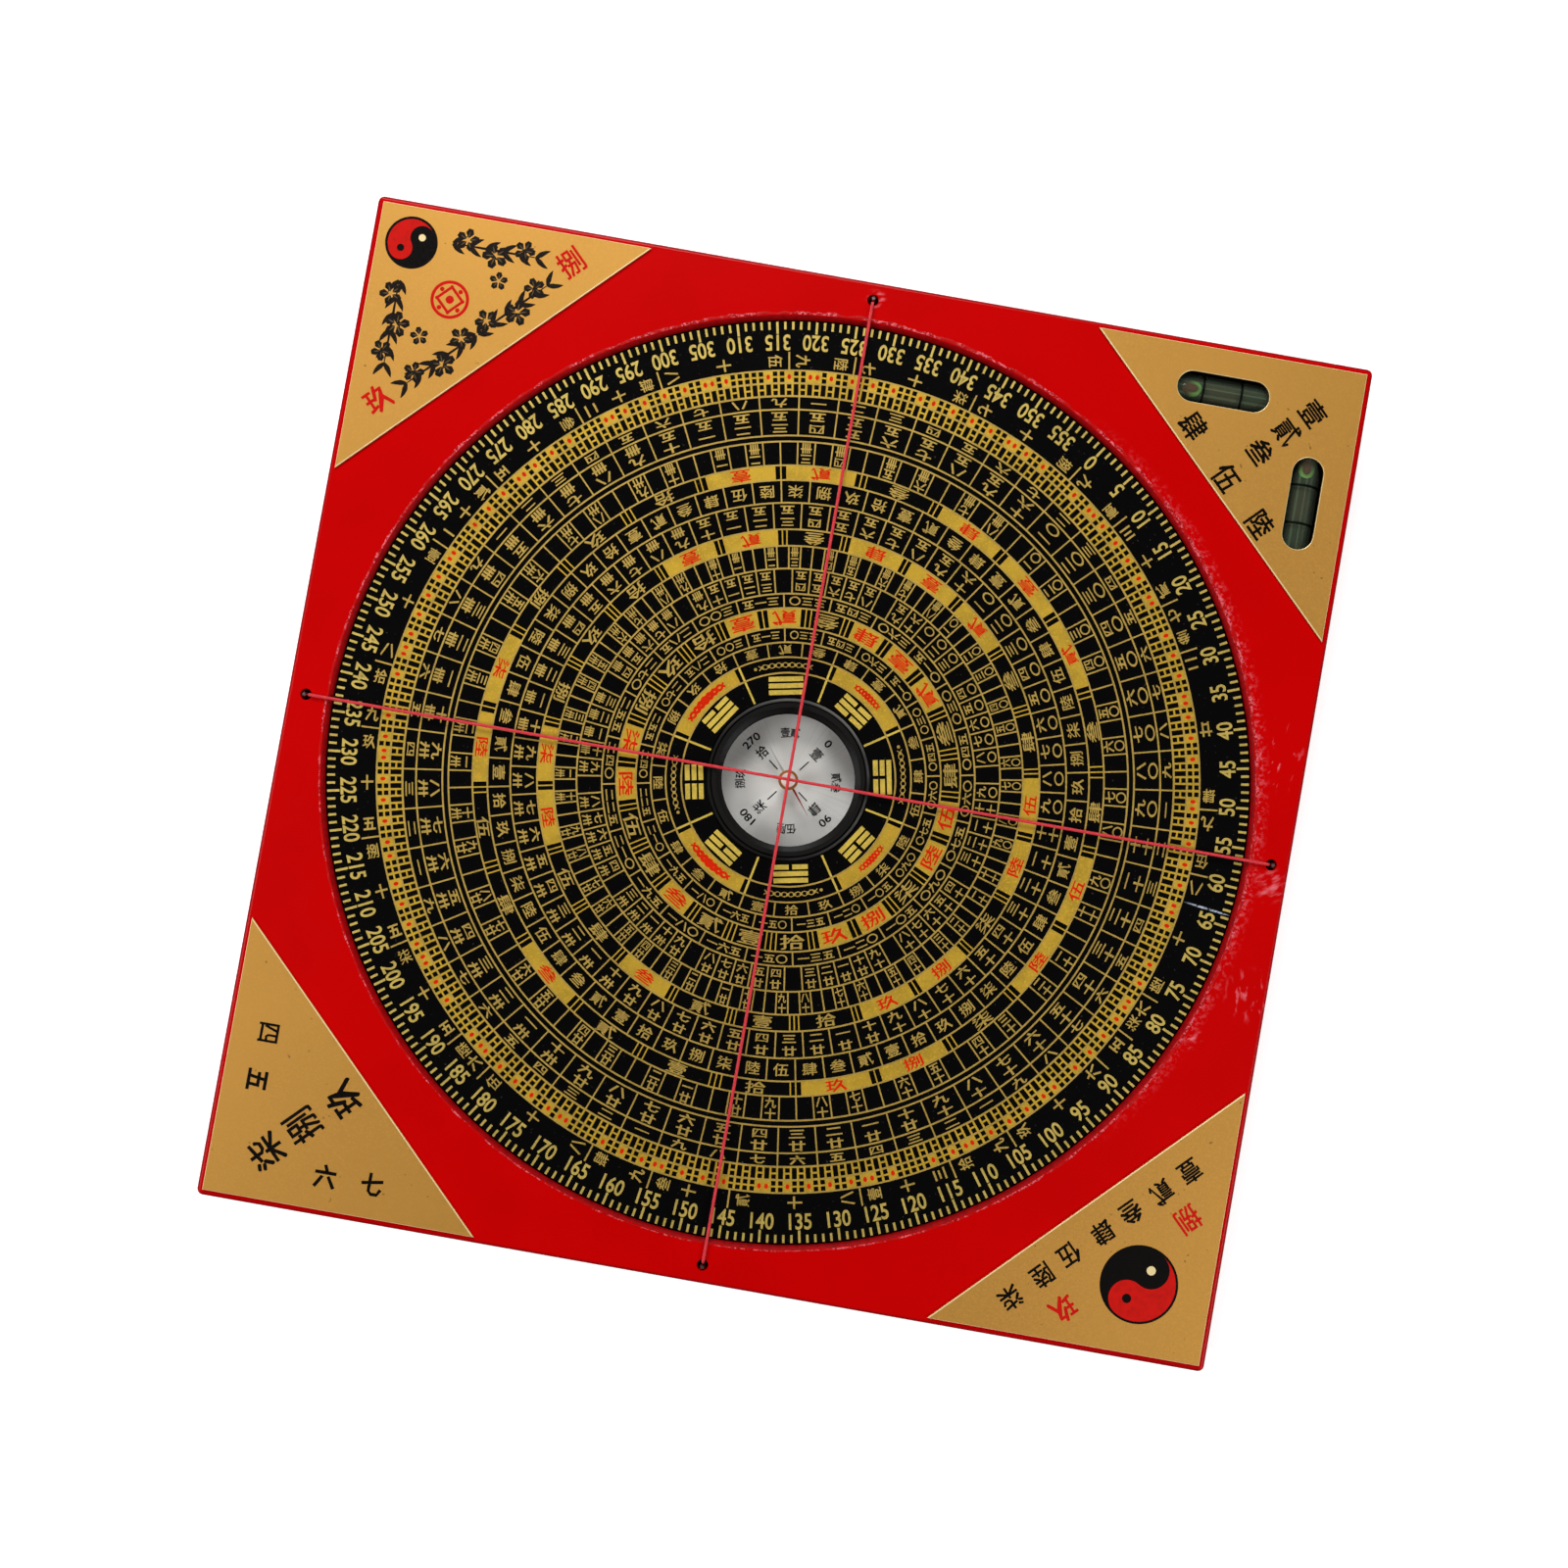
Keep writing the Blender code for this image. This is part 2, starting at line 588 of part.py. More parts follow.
def make_needle(parts):
    """Add the needle's blade and the turned cap that rides on the pivot pin."""
    axis = empty("needle_axis", parts, (0, 0, 0), NEEDLE_TURN_DEG)
    eye_deg = math.degrees(math.asin(NEEDLE_HALF_WIDTH / NEEDLE_EYE_RADIUS))
    right = arc(0, 0, NEEDLE_EYE_RADIUS, 90 - eye_deg, eye_deg - 90, EYE_STEPS)
    left = arc(0, 0, NEEDLE_EYE_RADIUS, 270 - eye_deg, 90 + eye_deg, EYE_STEPS)
    outline = [(0, NEEDLE_REACH)] + right + [(0, -NEEDLE_REACH)] + left
    hole = arc(0, 0, BLADE_HOLE_RADIUS, 0, 360, 2 * EYE_STEPS)[:-1]
    red = material("needle_red", NEEDLE_RED, 0.35, 0.3)
    blade = flat_piece("needle_blade", parts, [outline, hole], NEEDLE_T, red)
    place(blade, (0, 0, BLADE_BOTTOM + NEEDLE_T / 2), parent=axis)
    cap = [
        (0, CAP_TOP),
        (CAP_RADIUS - CAP_BEVEL, CAP_TOP),
        (CAP_RADIUS, CAP_TOP - CAP_BEVEL),
        (CAP_RADIUS, CAP_SHOULDER),
        (CAP_NECK_RADIUS, CAP_SHOULDER),
        (CAP_NECK_RADIUS, CAP_BOTTOM),
        (CAP_NECK_RADIUS - CAP_JEWEL_WALL, CAP_BOTTOM),
        (0, JEWEL_APEX),
    ]
    brass = material("cap_brass", BRASS, 0.22, 0.95)
    place(turned("needle_cap", parts, cap, SMALL_STEPS, brass), parent=axis)


def thread_route(rise):
    """Return one thread's points from tail to tail, over the dial's middle at the given extra height."""
    edge = HOLE_PLACE - HOLE_RADIUS
    bend = arc(edge, BOARD_TOP, THREAD_LIFT, 0, 90, BEND_STEPS)
    tail = (edge + THREAD_LIFT, BOARD_TOP - THREAD_TAIL)
    crest = (CROSS_FLAT, BOARD_TOP + THREAD_LIFT + rise)
    half = [tail] + bend + [crest]
    return half + [(-x, z) for x, z in reversed(half)]


def make_threads(parts):
    """Add the two crossing threads and the peg in each thread hole."""
    red = material("thread_red", THREAD_RED, 0.45)
    over = 2 * THREAD_RADIUS + CROSS_GAP
    for name, turn, rise in (("left_right", 0, 0), ("top_bottom", 90, over)):
        curve = bpy.data.curves.new("thread_" + name, "CURVE")
        curve.dimensions = "3D"
        curve.bevel_depth = THREAD_RADIUS
        curve.bevel_resolution = 2
        curve.use_fill_caps = True
        route = thread_route(rise)
        spline = curve.splines.new("POLY")
        spline.points.add(len(route) - 1)
        for point, (x, z) in zip(spline.points, route):
            point.co = (x, 0, z, 1)
        curve.materials.append(red)
        thread = bpy.data.objects.new(curve.name, curve)
        thread.rotation_euler[2] = math.radians(turn)
        parts.objects.link(thread)

    top = BOARD_TOP - PEG_TOP_DROP
    peg = [
        (0, top),
        (PEG_RADIUS * PEG_DOME_SHARE, top),
        (PEG_RADIUS, top - PEG_RADIUS * PEG_DOME_SHARE),
        (PEG_RADIUS, top - PEG_LENGTH + PEG_TAPER),
        (PEG_RADIUS * PEG_TIP_SHARE, top - PEG_LENGTH),
        (0, top - PEG_LENGTH),
    ]
    steel = material("peg_metal", STEEL, 0.3, 0.9)
    reach = HOLE_PLACE + HOLE_RADIUS - THREAD_CLEARANCE / 2 - PEG_RADIUS
    for name, turn in SIDES.items():
        angle = math.radians(turn)
        pin = turned("thread_peg_" + name, parts, peg, PIN_STEPS, steel)
        place(pin, (reach * math.cos(angle), reach * math.sin(angle), 0))


def main():
    """Build the whole compass."""
    clear_scene()
    parts = new_collection("feng_shui_compass")
    cutters = new_collection("feng_shui_compass_cutters")
    make_board(parts, cutters)
    make_corner_plates(parts)
    make_vials(parts)
    dial = make_dial(parts)
    make_capsule(parts, dial)
    make_needle(parts)
    make_threads(parts)


main()
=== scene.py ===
"""Finish the packed feng shui compass: lacquer, print, number signs, capsule, vials, threads and studio.

Laid out as an add-on. Run as a script, it registers its panel and operators and builds every piece.
A bearing is in degrees clockwise from the dial's zero, seen from above. Other angles are about +Z,
unless they say clockwise.
"""
import functools
import math
from typing import NamedTuple

import bmesh
import bpy
from bpy.props import FloatProperty, FloatVectorProperty, IntProperty, PointerProperty
from bpy.types import Operator, Panel, PropertyGroup
from mathutils import Euler, Matrix, Vector, noise


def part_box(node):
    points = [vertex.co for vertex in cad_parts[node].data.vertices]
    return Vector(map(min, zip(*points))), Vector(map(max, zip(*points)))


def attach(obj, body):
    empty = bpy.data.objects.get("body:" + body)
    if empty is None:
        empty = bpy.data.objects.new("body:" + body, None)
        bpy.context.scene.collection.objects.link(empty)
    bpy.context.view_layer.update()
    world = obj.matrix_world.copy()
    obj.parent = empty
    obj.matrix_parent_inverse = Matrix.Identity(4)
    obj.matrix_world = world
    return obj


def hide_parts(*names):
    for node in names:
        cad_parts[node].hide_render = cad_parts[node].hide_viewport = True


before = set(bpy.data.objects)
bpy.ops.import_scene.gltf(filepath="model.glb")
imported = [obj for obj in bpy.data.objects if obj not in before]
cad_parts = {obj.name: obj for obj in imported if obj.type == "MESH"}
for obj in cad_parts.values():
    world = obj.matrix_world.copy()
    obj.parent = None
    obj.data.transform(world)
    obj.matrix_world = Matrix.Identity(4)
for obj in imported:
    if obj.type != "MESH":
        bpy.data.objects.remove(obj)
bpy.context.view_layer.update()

bl_info = {
    "name": "Feng Shui Compass Finish",
    "version": (1, 0, 0),
    "blender": (4, 5, 0),
    "location": "3D View > Sidebar > Compass",
    "description": "Lacquer, print, number signs, capsule, level vials and threads of a feng shui compass",
    "category": "Object",
}

# Places in the packed frame
MM = 0.001
BOARD_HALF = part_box("base_frame")[1].x
BOARD_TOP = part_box("base_frame")[1].z
FACE_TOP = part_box("dial_face")[1].z
PLATE_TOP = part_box("corner_plate_tl")[1].z
CARD_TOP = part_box("capsule_card")[1].z
CUP_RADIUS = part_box("capsule_cup")[1].x
BEZEL_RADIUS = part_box("capsule_bezel")[1].x
CAP_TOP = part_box("needle_cap")[1].z
CAP_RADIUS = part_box("needle_cap")[1].x
SHARP_ANGLE = math.radians(35)
MERGE_DISTANCE = 0.000002
FAR = 1e6

# Print: layers of ink that sink a little into the face they lie on
INK_LAYER = 0.03 * MM
INK_SINK = 0.01 * MM
FIELD_LAYER = 0.5
CELL_LAYER = 0.8
RING_LAYER = 1.0
SIGN_LAYER = 1.3
SIGN_WEIGHT = 0.03
DIGIT_WEIGHT = 0.018
STRIKE_SHIFT = 0.016
ONE_STRIKE = ((0, 0),)
TWO_STRIKES = ((-1, -1), (1, 1))
FOUR_STRIKES = ((-1, -1), (1, 1), (-1, 1), (1, -1))
SIMPLE_NUMERALS = "〇一二三四五六七八九"
FORMAL_NUMERALS = "拾壹貳叁肆伍陸柒捌玖"
TENS_NUMERALS = "〇十廿卅卌五六七八九"
TEN = "十"
THIN_SIGNS = FORMAL_NUMERALS + "四"
SIGN_BOX = (1.0, 0.38, 0.92)
DIGIT_BOX = (0.5, 0.34, 0.70)
TOPS_INWARD = math.radians(90)
TOPS_OUTWARD = math.radians(-90)
TOPS_CLOCKWISE = math.radians(180)


def on_screen(red, green, blue):
    """Return the linear colour of one that a screen shows, each part from 0 to 255."""
    parts = (red / 255, green / 255, blue / 255)
    return tuple(c / 12.92 if c <= 0.04045 else ((c + 0.055) / 1.055) ** 2.4 for c in parts)


def colour(name, description, red, green, blue):
    """Declare a colour."""
    value = on_screen(red, green, blue)
    limits = {"min": 0, "max": 1, "default": value}
    return FloatVectorProperty(name=name, description=description, subtype="COLOR", **limits)


def length(name, description, millimetres):
    """Declare a size."""
    value = millimetres * MM
    return FloatProperty(name=name, description=description, unit="LENGTH", precision=5, min=0, default=value)


def angle(name, description, degrees):
    """Declare an angle."""
    value = math.radians(degrees)
    return FloatProperty(name=name, description=description, unit="ROTATION", default=value)


class BoardLook(PropertyGroup):
    """Lacquer of the board and its worn rim round the dial."""

    lacquer: colour("Lacquer", "Red lacquer of the frame", 206, 1, 2)
    # The edge colour is painted shade: the lacquer darkened along the rounded edges and sides, where they
    # turn from the light.
    edge: colour("Edge", "Lacquer along the board's rounded edges and its sides", 158, 0, 6)
    # The shade colour is painted shade on the lacquer down in the recess.
    shade: colour("Shade", "Lacquer down in the recess", 132, 2, 6)
    # The pocket colour is painted shade: near black on the walls down in the vials' pockets.
    pocket: colour("Pocket", "Blackened walls of the vials' pockets", 18, 14, 12)
    # The lip colour is painted shade: the lacquer just inside the rim darkened to stand for the shade in the
    # gap round the dial.
    lip: colour("Lip", "Dark lacquer just inside the rim", 158, 3, 8)
    worn: colour("Worn lacquer", "Pale lacquer along the rim and in the scuffs", 238, 112, 122)
    back: colour("Back panel", "Lacquer of the back panel", 150, 8, 12)
    rim_radius: length("Rim radius", "Where the ragged rim starts", 97.15)
    rim_narrow: length("Narrow rim", "Width of the rim on its smooth side", 0.35)
    rim_wide: length("Wide rim", "Width of the rim on its ragged side", 0.85)
    rim_height: length("Rim height", "How far the rim stands proud of the frame", 0.05)
    rim_side: angle("Ragged side", "Direction in which the rim is widest", 65)


class PlateLook(PropertyGroup):
    """Corner plates and what is printed on them."""

    gold: colour("Plate gold", "Satin gold of the plates", 214, 158, 72)
    # The edge colour is a painted highlight: pale gold on the plates' rounded edges and along the slanted
    # edge.
    edge: colour("Edge gold", "Pale gold of the rounded edges and the slanted line", 255, 230, 168)
    black: colour("Black ink", "Black print", 16, 13, 12)
    sprig: colour("Sprig ink", "Brown black of the blossom sprigs", 34, 28, 24)
    vein: colour("Sprig veins", "Paler veins in the blossoms", 104, 84, 56)
    red: colour("Red ink", "Red print", 214, 26, 20)
    edge_round: length("Edge rounding", "Rounding of the plates' upper edges", 0.12)
    # The edge line is a painted highlight along the slanted edge.
    edge_line: length("Edge line", "Width of the bright line along the slanted edge", 0.36)


class DialLook(PropertyGroup):
    """The dial and its print."""

    zero: angle("Zero", "Turn of the dial's zero from the board's top, clockwise", 33.6)
    black: colour("Dial black", "Satin black of the sheet", 9, 8, 8)
    gold: colour("Gold ink", "Ink of the gold cells", 220, 178, 54)
    sign: colour("Sign ink", "Ink of the lines and signs", 204, 170, 82)
    bright: colour("Bright gold ink", "Ink of the trigrams", 238, 206, 88)
    pale: colour("Pale gold ink", "Ink of the degree scale", 220, 192, 98)
    red: colour("Red ink", "Ink of the signs on gold cells", 222, 40, 12)
    line: length("Line width", "Width of the ring lines", 0.36)


class CapsuleLook(PropertyGroup):
    """The needle capsule."""

    black: colour("Capsule black", "Cup and bezel", 26, 25, 24)
    # The lip colour is a painted highlight: grey along the edge of the cup's flange, brightest on one side.
    lip: colour("Lip", "Scuffed edge of the cup's flange", 104, 103, 100)
    card: colour("Card", "Brushed silver card", 248, 246, 240)
    print: colour("Card print", "Ink on the card", 22, 21, 22)
    needle: colour("Needle", "Red end of the needle", 168, 30, 44)
    tail: colour("Needle tail", "Pale end of the needle", 196, 196, 192)
    brass: colour("Brass", "Cap of the needle", 224, 142, 74)
    # The cap's pale colour is a painted highlight: a pale disc on the needle's cap stands for its bright
    # reflection.
    jewel: colour("Jewel", "Jewel set in the cap", 252, 226, 218)
    zero: angle("Card zero", "Turn of the card's zero from the board's top, clockwise", 37.5)


class VialLook(PropertyGroup):
    """The two level vials."""

    fluid: colour("Fluid", "Green fluid in the vials", 46, 60, 38)
    tinge: colour("Tinge", "Brown tinge in the middle of a vial", 92, 78, 50)
    # The streak colour is a painted highlight: lighter lines along a vial stand for the lamps' reflections.
    streak: colour("Streak", "Lighter streaks along a vial", 124, 142, 110)
    bubble: colour("Bubble", "Middle of a bubble", 104, 70, 52)
    # The bubble's bright colour is a painted highlight: the bright edge of a bubble.
    crescent: colour("Crescent", "Bright edge of a bubble", 150, 224, 110)
    mark: colour("Mark", "Ring marks round a vial", 12, 16, 12)
    mark_reach: length("Mark place", "Distance of a mark from the vial's middle", 4.0)
    mark_width: length("Mark width", "Width of a ring mark", 0.5)


class ThreadLook(PropertyGroup):
    """The two crossing threads."""

    red: colour("Thread", "Dyed thread", 234, 48, 60)
    strands: IntProperty(name="Strands", description="Strands twisted into a thread", min=2, default=3)
    strand: FloatProperty(
        name="Strand", description="Strand's radius, as a share of the thread's", default=0.68
    )
    twist: length("Twist", "Length of one turn of a strand", 2.0)
    flat: length("Flat", "Half of the level stretch over the dial's middle", 1.5)


class StudioLook(PropertyGroup):
    """Camera, lamps and floor."""

    lens: FloatProperty(name="Lens", description="Focal length in millimetres", default=50)
    place: FloatVectorProperty(
        name="Camera place",
        description="Where the camera stands",
        subtype="TRANSLATION",
        unit="LENGTH",
        default=(0.0003, -0.0140, 0.4696),
    )
    turn: FloatVectorProperty(
        name="Camera turn",
        description="How the camera is turned",
        subtype="EULER",
        default=(math.radians(1.637), math.radians(-0.158), math.radians(10.03)),
    )
    key: FloatProperty(name="Key", description="Power of the lamp beyond the board's top edge", default=5.2)
    left: FloatProperty(name="Left", description="Power of the lamp on the left", default=2.8)
    right: FloatProperty(name="Right", description="Power of the lamp on the right", default=2.8)
    side_glow: FloatProperty(name="Side glow", description="Brightness of the room's walls", default=0.75)
    top_glow: FloatProperty(name="Top glow", description="Brightness of the room overhead", default=0.34)


class Nodes:
    """A node tree and the nodes added to it."""

    def __init__(self, tree):
        self.tree = tree

    def node(self, kind, inputs=None, **settings):
        """Add a node. Inputs are sockets to link or values to set."""
        made = self.tree.nodes.new("ShaderNode" + kind)
        for key, value in settings.items():
            setattr(made, key, value)
        for key, value in (inputs or {}).items():
            self.feed(made.inputs[key], value)
        return made

    def feed(self, socket, value):
        """Link a socket to another, or set its value."""
        if isinstance(value, bpy.types.NodeSocket):
            self.tree.links.new(value, socket)
        elif socket.type == "RGBA":
            socket.default_value = (*value[:3], 1.0)
        else:
            socket.default_value = value

    def part(self, vector, axis):
        """Return one part of a vector."""
        return self.node("SeparateXYZ", {0: vector}).outputs[axis]

    def norm(self, vector):
        """Return the length of a vector."""
        return self.node("VectorMath", {0: vector}, operation="LENGTH").outputs["Value"]

    def math(self, operation, first, second=0.0):
        """Return the result of a Math node."""
        return self.node("Math", {0: first, 1: second}, operation=operation).outputs[0]

    def both(self, *factors):
        """Return the product of factors."""
        return functools.reduce(lambda a, b: self.math("MULTIPLY", a, b), factors)

    def any(self, *factors):
        """Return the largest of factors."""
        return functools.reduce(lambda a, b: self.math("MAXIMUM", a, b), factors)


class Finish(Nodes):
    """A Principled material whose patterns read the piece's own coordinates."""

    def __init__(self, name, base, roughness, metallic=0.0):
        self.material = bpy.data.materials.new(name)
        self.material.use_nodes = True
        super().__init__(self.material.node_tree)
        self.shader = self.tree.nodes["Principled BSDF"]
        self.place = self.node("TexCoord").outputs["Object"]
        self.set("Base Color", base)
        self.set("Roughness", roughness)
        self.set("Metallic", metallic)

    def set(self, name, value):
        """Link or set one of the shader's own sockets."""
        self.feed(self.shader.inputs[name], value)

    def local(self, centre=(0, 0, 0), turn=0.0, size=(1, 1, 1)):
        """Return coordinates from a centre, along axes turned about +Z, in units of size."""
        inputs = {"Vector": self.place, "Location": centre, "Rotation": (0, 0, turn), "Scale": size}
        return self.node("Mapping", inputs, vector_type="TEXTURE").outputs[0]

    def reach(self, centre=(0, 0, 0)):
        """Return the distance from an upright axis through a centre."""
        return self.norm(self.local(centre, size=(1, 1, FAR)))

    def grain(self, scale, detail=2.0, vector=None):
        """Return noise from 0 to 1."""
        source = self.place if vector is None else vector
        return self.node("TexNoise", {"Vector": source, "Scale": scale, "Detail": detail}).outputs[0]

    def band(self, value, low, high):
        """Return 0 rising smoothly to 1 from low to high, or falling where low is above high."""
        inputs = {"Value": value, "From Min": low, "From Max": high}
        return self.node("MapRange", inputs, interpolation_type="SMOOTHSTEP").outputs["Result"]

    def spread(self, value, low, high):
        """Return a value from 0 to 1 taken evenly to low to high."""
        return self.node("MapRange", {"Value": value, "To Min": low, "To Max": high}).outputs["Result"]

    def mix(self, factor, first, second):
        """Return a mix of two colours."""
        return self.node("Mix", {0: factor, 6: first, 7: second}, data_type="RGBA").outputs[2]

    def bump(self, height, depth):
        """Raise the surface by a pattern from 0 to 1, to that depth."""
        raised = self.node("Bump", {"Height": height, "Distance": depth, "Strength": 1.0})
        self.set("Normal", raised.outputs[0])


def toned(base, share):
    """Return a colour made darker, or lighter where share is above 1."""
    return tuple(min(1.0, part * share) for part in base[:3])


def made(name):
    """Return a material made before."""
    return bpy.data.materials[name]


def finish_nodes(material, *names):
    """Give CAD nodes a material."""
    for name in names:
        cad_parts[name].material_slots[0].material = material


def add_piece(name, shape, materials, body, slot, smooth=False):
    """Make an object of a bmesh, with the given materials. It rides on a body. The slot is not used."""
    mesh = bpy.data.meshes.new(name)
    shape.to_mesh(mesh)
    shape.free()
    return add_mesh(name, mesh, materials, body, slot, smooth)


def add_mesh(name, mesh, materials, body, slot, smooth=False):
    """Make an object of a mesh, with the given materials. It rides on a body. The slot is not used."""
    indices = [min(face.material_index, len(materials) - 1) for face in mesh.polygons]
    mesh.materials.clear()
    for material in materials:
        mesh.materials.append(material)
    mesh.polygons.foreach_set("material_index", indices)
    if smooth:
        mesh.shade_smooth()
        mesh.set_sharp_from_angle(angle=SHARP_ANGLE)
    else:
        mesh.shade_flat()
    piece = bpy.data.objects.new(name, mesh)
    bpy.context.scene.collection.objects.link(piece)
    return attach(piece, body)


def closed_block(shape):
    """Make a mesh of a bmesh, with its doubles merged and its faces pointing out."""
    bmesh.ops.remove_doubles(shape, verts=shape.verts, dist=MERGE_DISTANCE)
    bmesh.ops.recalc_face_normals(shape, faces=shape.faces)
    mesh = bpy.data.meshes.new("block")
    shape.to_mesh(mesh)
    shape.free()
    return mesh


def curve_block(curve):
    """Make a mesh of a curve or a text, and remove it."""
    source = bpy.data.objects.new("source", curve)
    bpy.context.scene.collection.objects.link(source)
    bpy.context.view_layer.update()
    graph = bpy.context.evaluated_depsgraph_get()
    mesh = bpy.data.meshes.new_from_object(source.evaluated_get(graph))
    bpy.data.objects.remove(source, do_unlink=True)
    bpy.data.curves.remove(curve)
    shape = bmesh.new()
    shape.from_mesh(mesh)
    bpy.data.meshes.remove(mesh)
    return closed_block(shape)


def tube_curve(name, radius):
    """Return an empty curve whose lines become round tubes with closed ends."""
    curve = bpy.data.curves.new(name, "CURVE")
    curve.dimensions = "3D"
    curve.bevel_depth = radius
    curve.bevel_resolution = 1
    curve.use_fill_caps = True
    return curve


def add_line(curve, points, closed=False):
    """Add a line of straight runs through points to a curve, its ends joined where it is closed."""
    spline = curve.splines.new("POLY")
    spline.points.add(len(points) - 1)
    for knot, spot in zip(spline.points, points):
        knot.co = (*spot, 1)
    spline.use_cyclic_u = closed


@functools.cache
def bar_block():
    """Return a bar one unit long, wide and high, standing on the origin."""
    shape = bmesh.new()
    bmesh.ops.create_cube(shape, size=1, matrix=Matrix.Translation((0, 0, 0.5)))
    return closed_block(shape)


def rod(sides, radius, reach, place):
    """Return a bmesh of a round bar, its middle at a place and its length along the place's Z."""
    shape = bmesh.new()
    ends = {"radius1": radius, "radius2": radius, "depth": reach}
    bmesh.ops.create_cone(shape, cap_ends=True, segments=sides, matrix=place, **ends)
    return shape


@functools.cache
def dot_block(sides):
    """Return a round dot one unit wide and high, standing on the origin."""
    return closed_block(rod(sides, 0.5, 1, Matrix.Translation((0, 0, 0.5))))


@functools.cache
def arc_block(inner, outer, sweep, steps):
    """Return a flat arc one unit high, its middle on +X. A full sweep gives a closed ring."""
    full = sweep > math.tau - 1e-6
    shape = bmesh.new()
    corners = [(inner, 0, 0), (outer, 0, 0), (outer, 0, 1), (inner, 0, 1)]
    points = [shape.verts.new(corner) for corner in corners]
    edges = [shape.edges.new((points[i - 1], points[i])) for i in range(4)]
    faces = [] if full else [shape.faces.new(points)]
    bmesh.ops.rotate(shape, verts=shape.verts, cent=(0, 0, 0), matrix=Matrix.Rotation(-sweep / 2, 3, "Z"))
    bmesh.ops.spin(
        shape,
        geom=points + edges + faces,
        cent=(0, 0, 0),
        axis=(0, 0, 1),
        angle=sweep,
        steps=steps,
        use_merge=full,
    )
    return closed_block(shape)


@functools.cache
def text_block(text):
    """Return a text whose letter boxes fill one unit each way, one unit high, round the origin."""
    advance, middle, high = DIGIT_BOX if text.isascii() else SIGN_BOX
    curve = bpy.data.curves.new("text", "FONT")
    curve.body = text
    curve.align_x = "CENTER"
    curve.resolution_u = 5 if text.isascii() else 4 if text == "〇" else 1
    curve.offset = 0 if text in THIN_SIGNS else DIGIT_WEIGHT if text.isascii() else SIGN_WEIGHT
    curve.extrude = 0.5
    block = curve_block(curve)
    unit = Matrix.Diagonal((1 / (advance * len(text)), 1 / high, 1, 1))
    block.transform(unit @ Matrix.Translation((0, -middle, 0.5)))
    return block


class Sheet:
    """Ink on a flat face, stamped from blocks into one mesh."""

    def __init__(self, face):
        self.shape = bmesh.new()
        self.foot = Matrix.Translation((0, 0, face - INK_SINK))

    def stamp(self, block, place, width=1.0, depth=1.0, layer=1.0):
        """Print a block at a place, scaled along its own X and Y, up to a layer of its own."""
        copy = block.copy()
        height = INK_LAYER * layer + INK_SINK
        copy.transform(self.foot @ place @ Matrix.Diagonal((width, depth, height, 1)))
        self.shape.from_mesh(copy)
        bpy.data.meshes.remove(copy)

    def write(self, text, place, width, height, strikes=TWO_STRIKES):
        """Print a sign or a number, struck a few times a little apart where its strokes are thin."""
        for number, (x, y) in enumerate(strikes if text in THIN_SIGNS else ONE_STRIKE):
            shift = Matrix.Translation((x * STRIKE_SHIFT * width, y * STRIKE_SHIFT * height, 0))
            self.stamp(text_block(text), place @ shift, width, height, SIGN_LAYER + 0.1 * number)

    def finish(self, name, material, body="dial", slot="dial_face"):
        """Make a piece of the print."""
        return add_piece(name, self.shape, [material], body, slot)


def on_dial(bearing, radius, turn=0.0, zero=None):
    """Return the place at a bearing and a radius, with +X pointing outward before the turn."""
    start = bpy.context.scene.dial_look.zero if zero is None else zero
    outward = Matrix.Rotation(math.radians(90 - bearing) - start, 4, "Z")
    return outward @ Matrix.Translation((radius, 0, 0)) @ Matrix.Rotation(turn, 4, "Z")


def on_plate(x, y, up):
    """Return the place at millimetres x and y, turned so that its top points in the direction up."""
    return Matrix.Translation((x * MM, y * MM, 0)) @ Matrix.Rotation(math.radians(up - 90), 4, "Z")


def degrees_apart(distance, radius):
    """Return the bearing between two places on a circle that are that far apart."""
    return math.degrees(distance / radius)


# Board


class Scuff(NamedTuple):
    """A rubbed patch of the frame, in mm and degrees: middle, reach, turn of its scratches, least grain."""

    x: float
    y: float
    reach: float
    turn: float
    least: float


SCUFFS = (
    Scuff(102.2, -4.2, 4.4, 35, 0.44),
    Scuff(101.6, -27.5, 6.5, 100, 0.54),
    Scuff(91.3, -38.4, 3.0, 20, 0.56),
    Scuff(0.6, 102.0, 2.6, 15, 0.54),
    Scuff(97.5, 22.0, 9.0, 80, 0.60),
)
SCUFF_CORE = 0.25
POCKET_CORNER = (85.3 * MM, 85.3 * MM, 0)
# Fades of the lacquer: where each starts and where it is full. The edge, depth, corner and slot fades place
# painted shade along the board's edges, in the recess and in the vials' pockets.
EDGE_SHADE_FADE = (BOARD_HALF - 0.8 * MM, BOARD_HALF - 0.2 * MM)
DEPTH_SHADE_FADE = (BOARD_TOP - 0.02 * MM, BOARD_TOP - 0.7 * MM)
POCKET_SHADE_CORNER_FADE = (31 * MM, 29 * MM)
POCKET_SHADE_SLOT_FADE = (BOARD_HALF - 2.0 * MM, BOARD_HALF - 2.5 * MM)
WORN_FADE = (BOARD_TOP - 1.2 * MM, BOARD_TOP - 0.4 * MM)
FLANK_FADE = (60 * MM, 92 * MM)


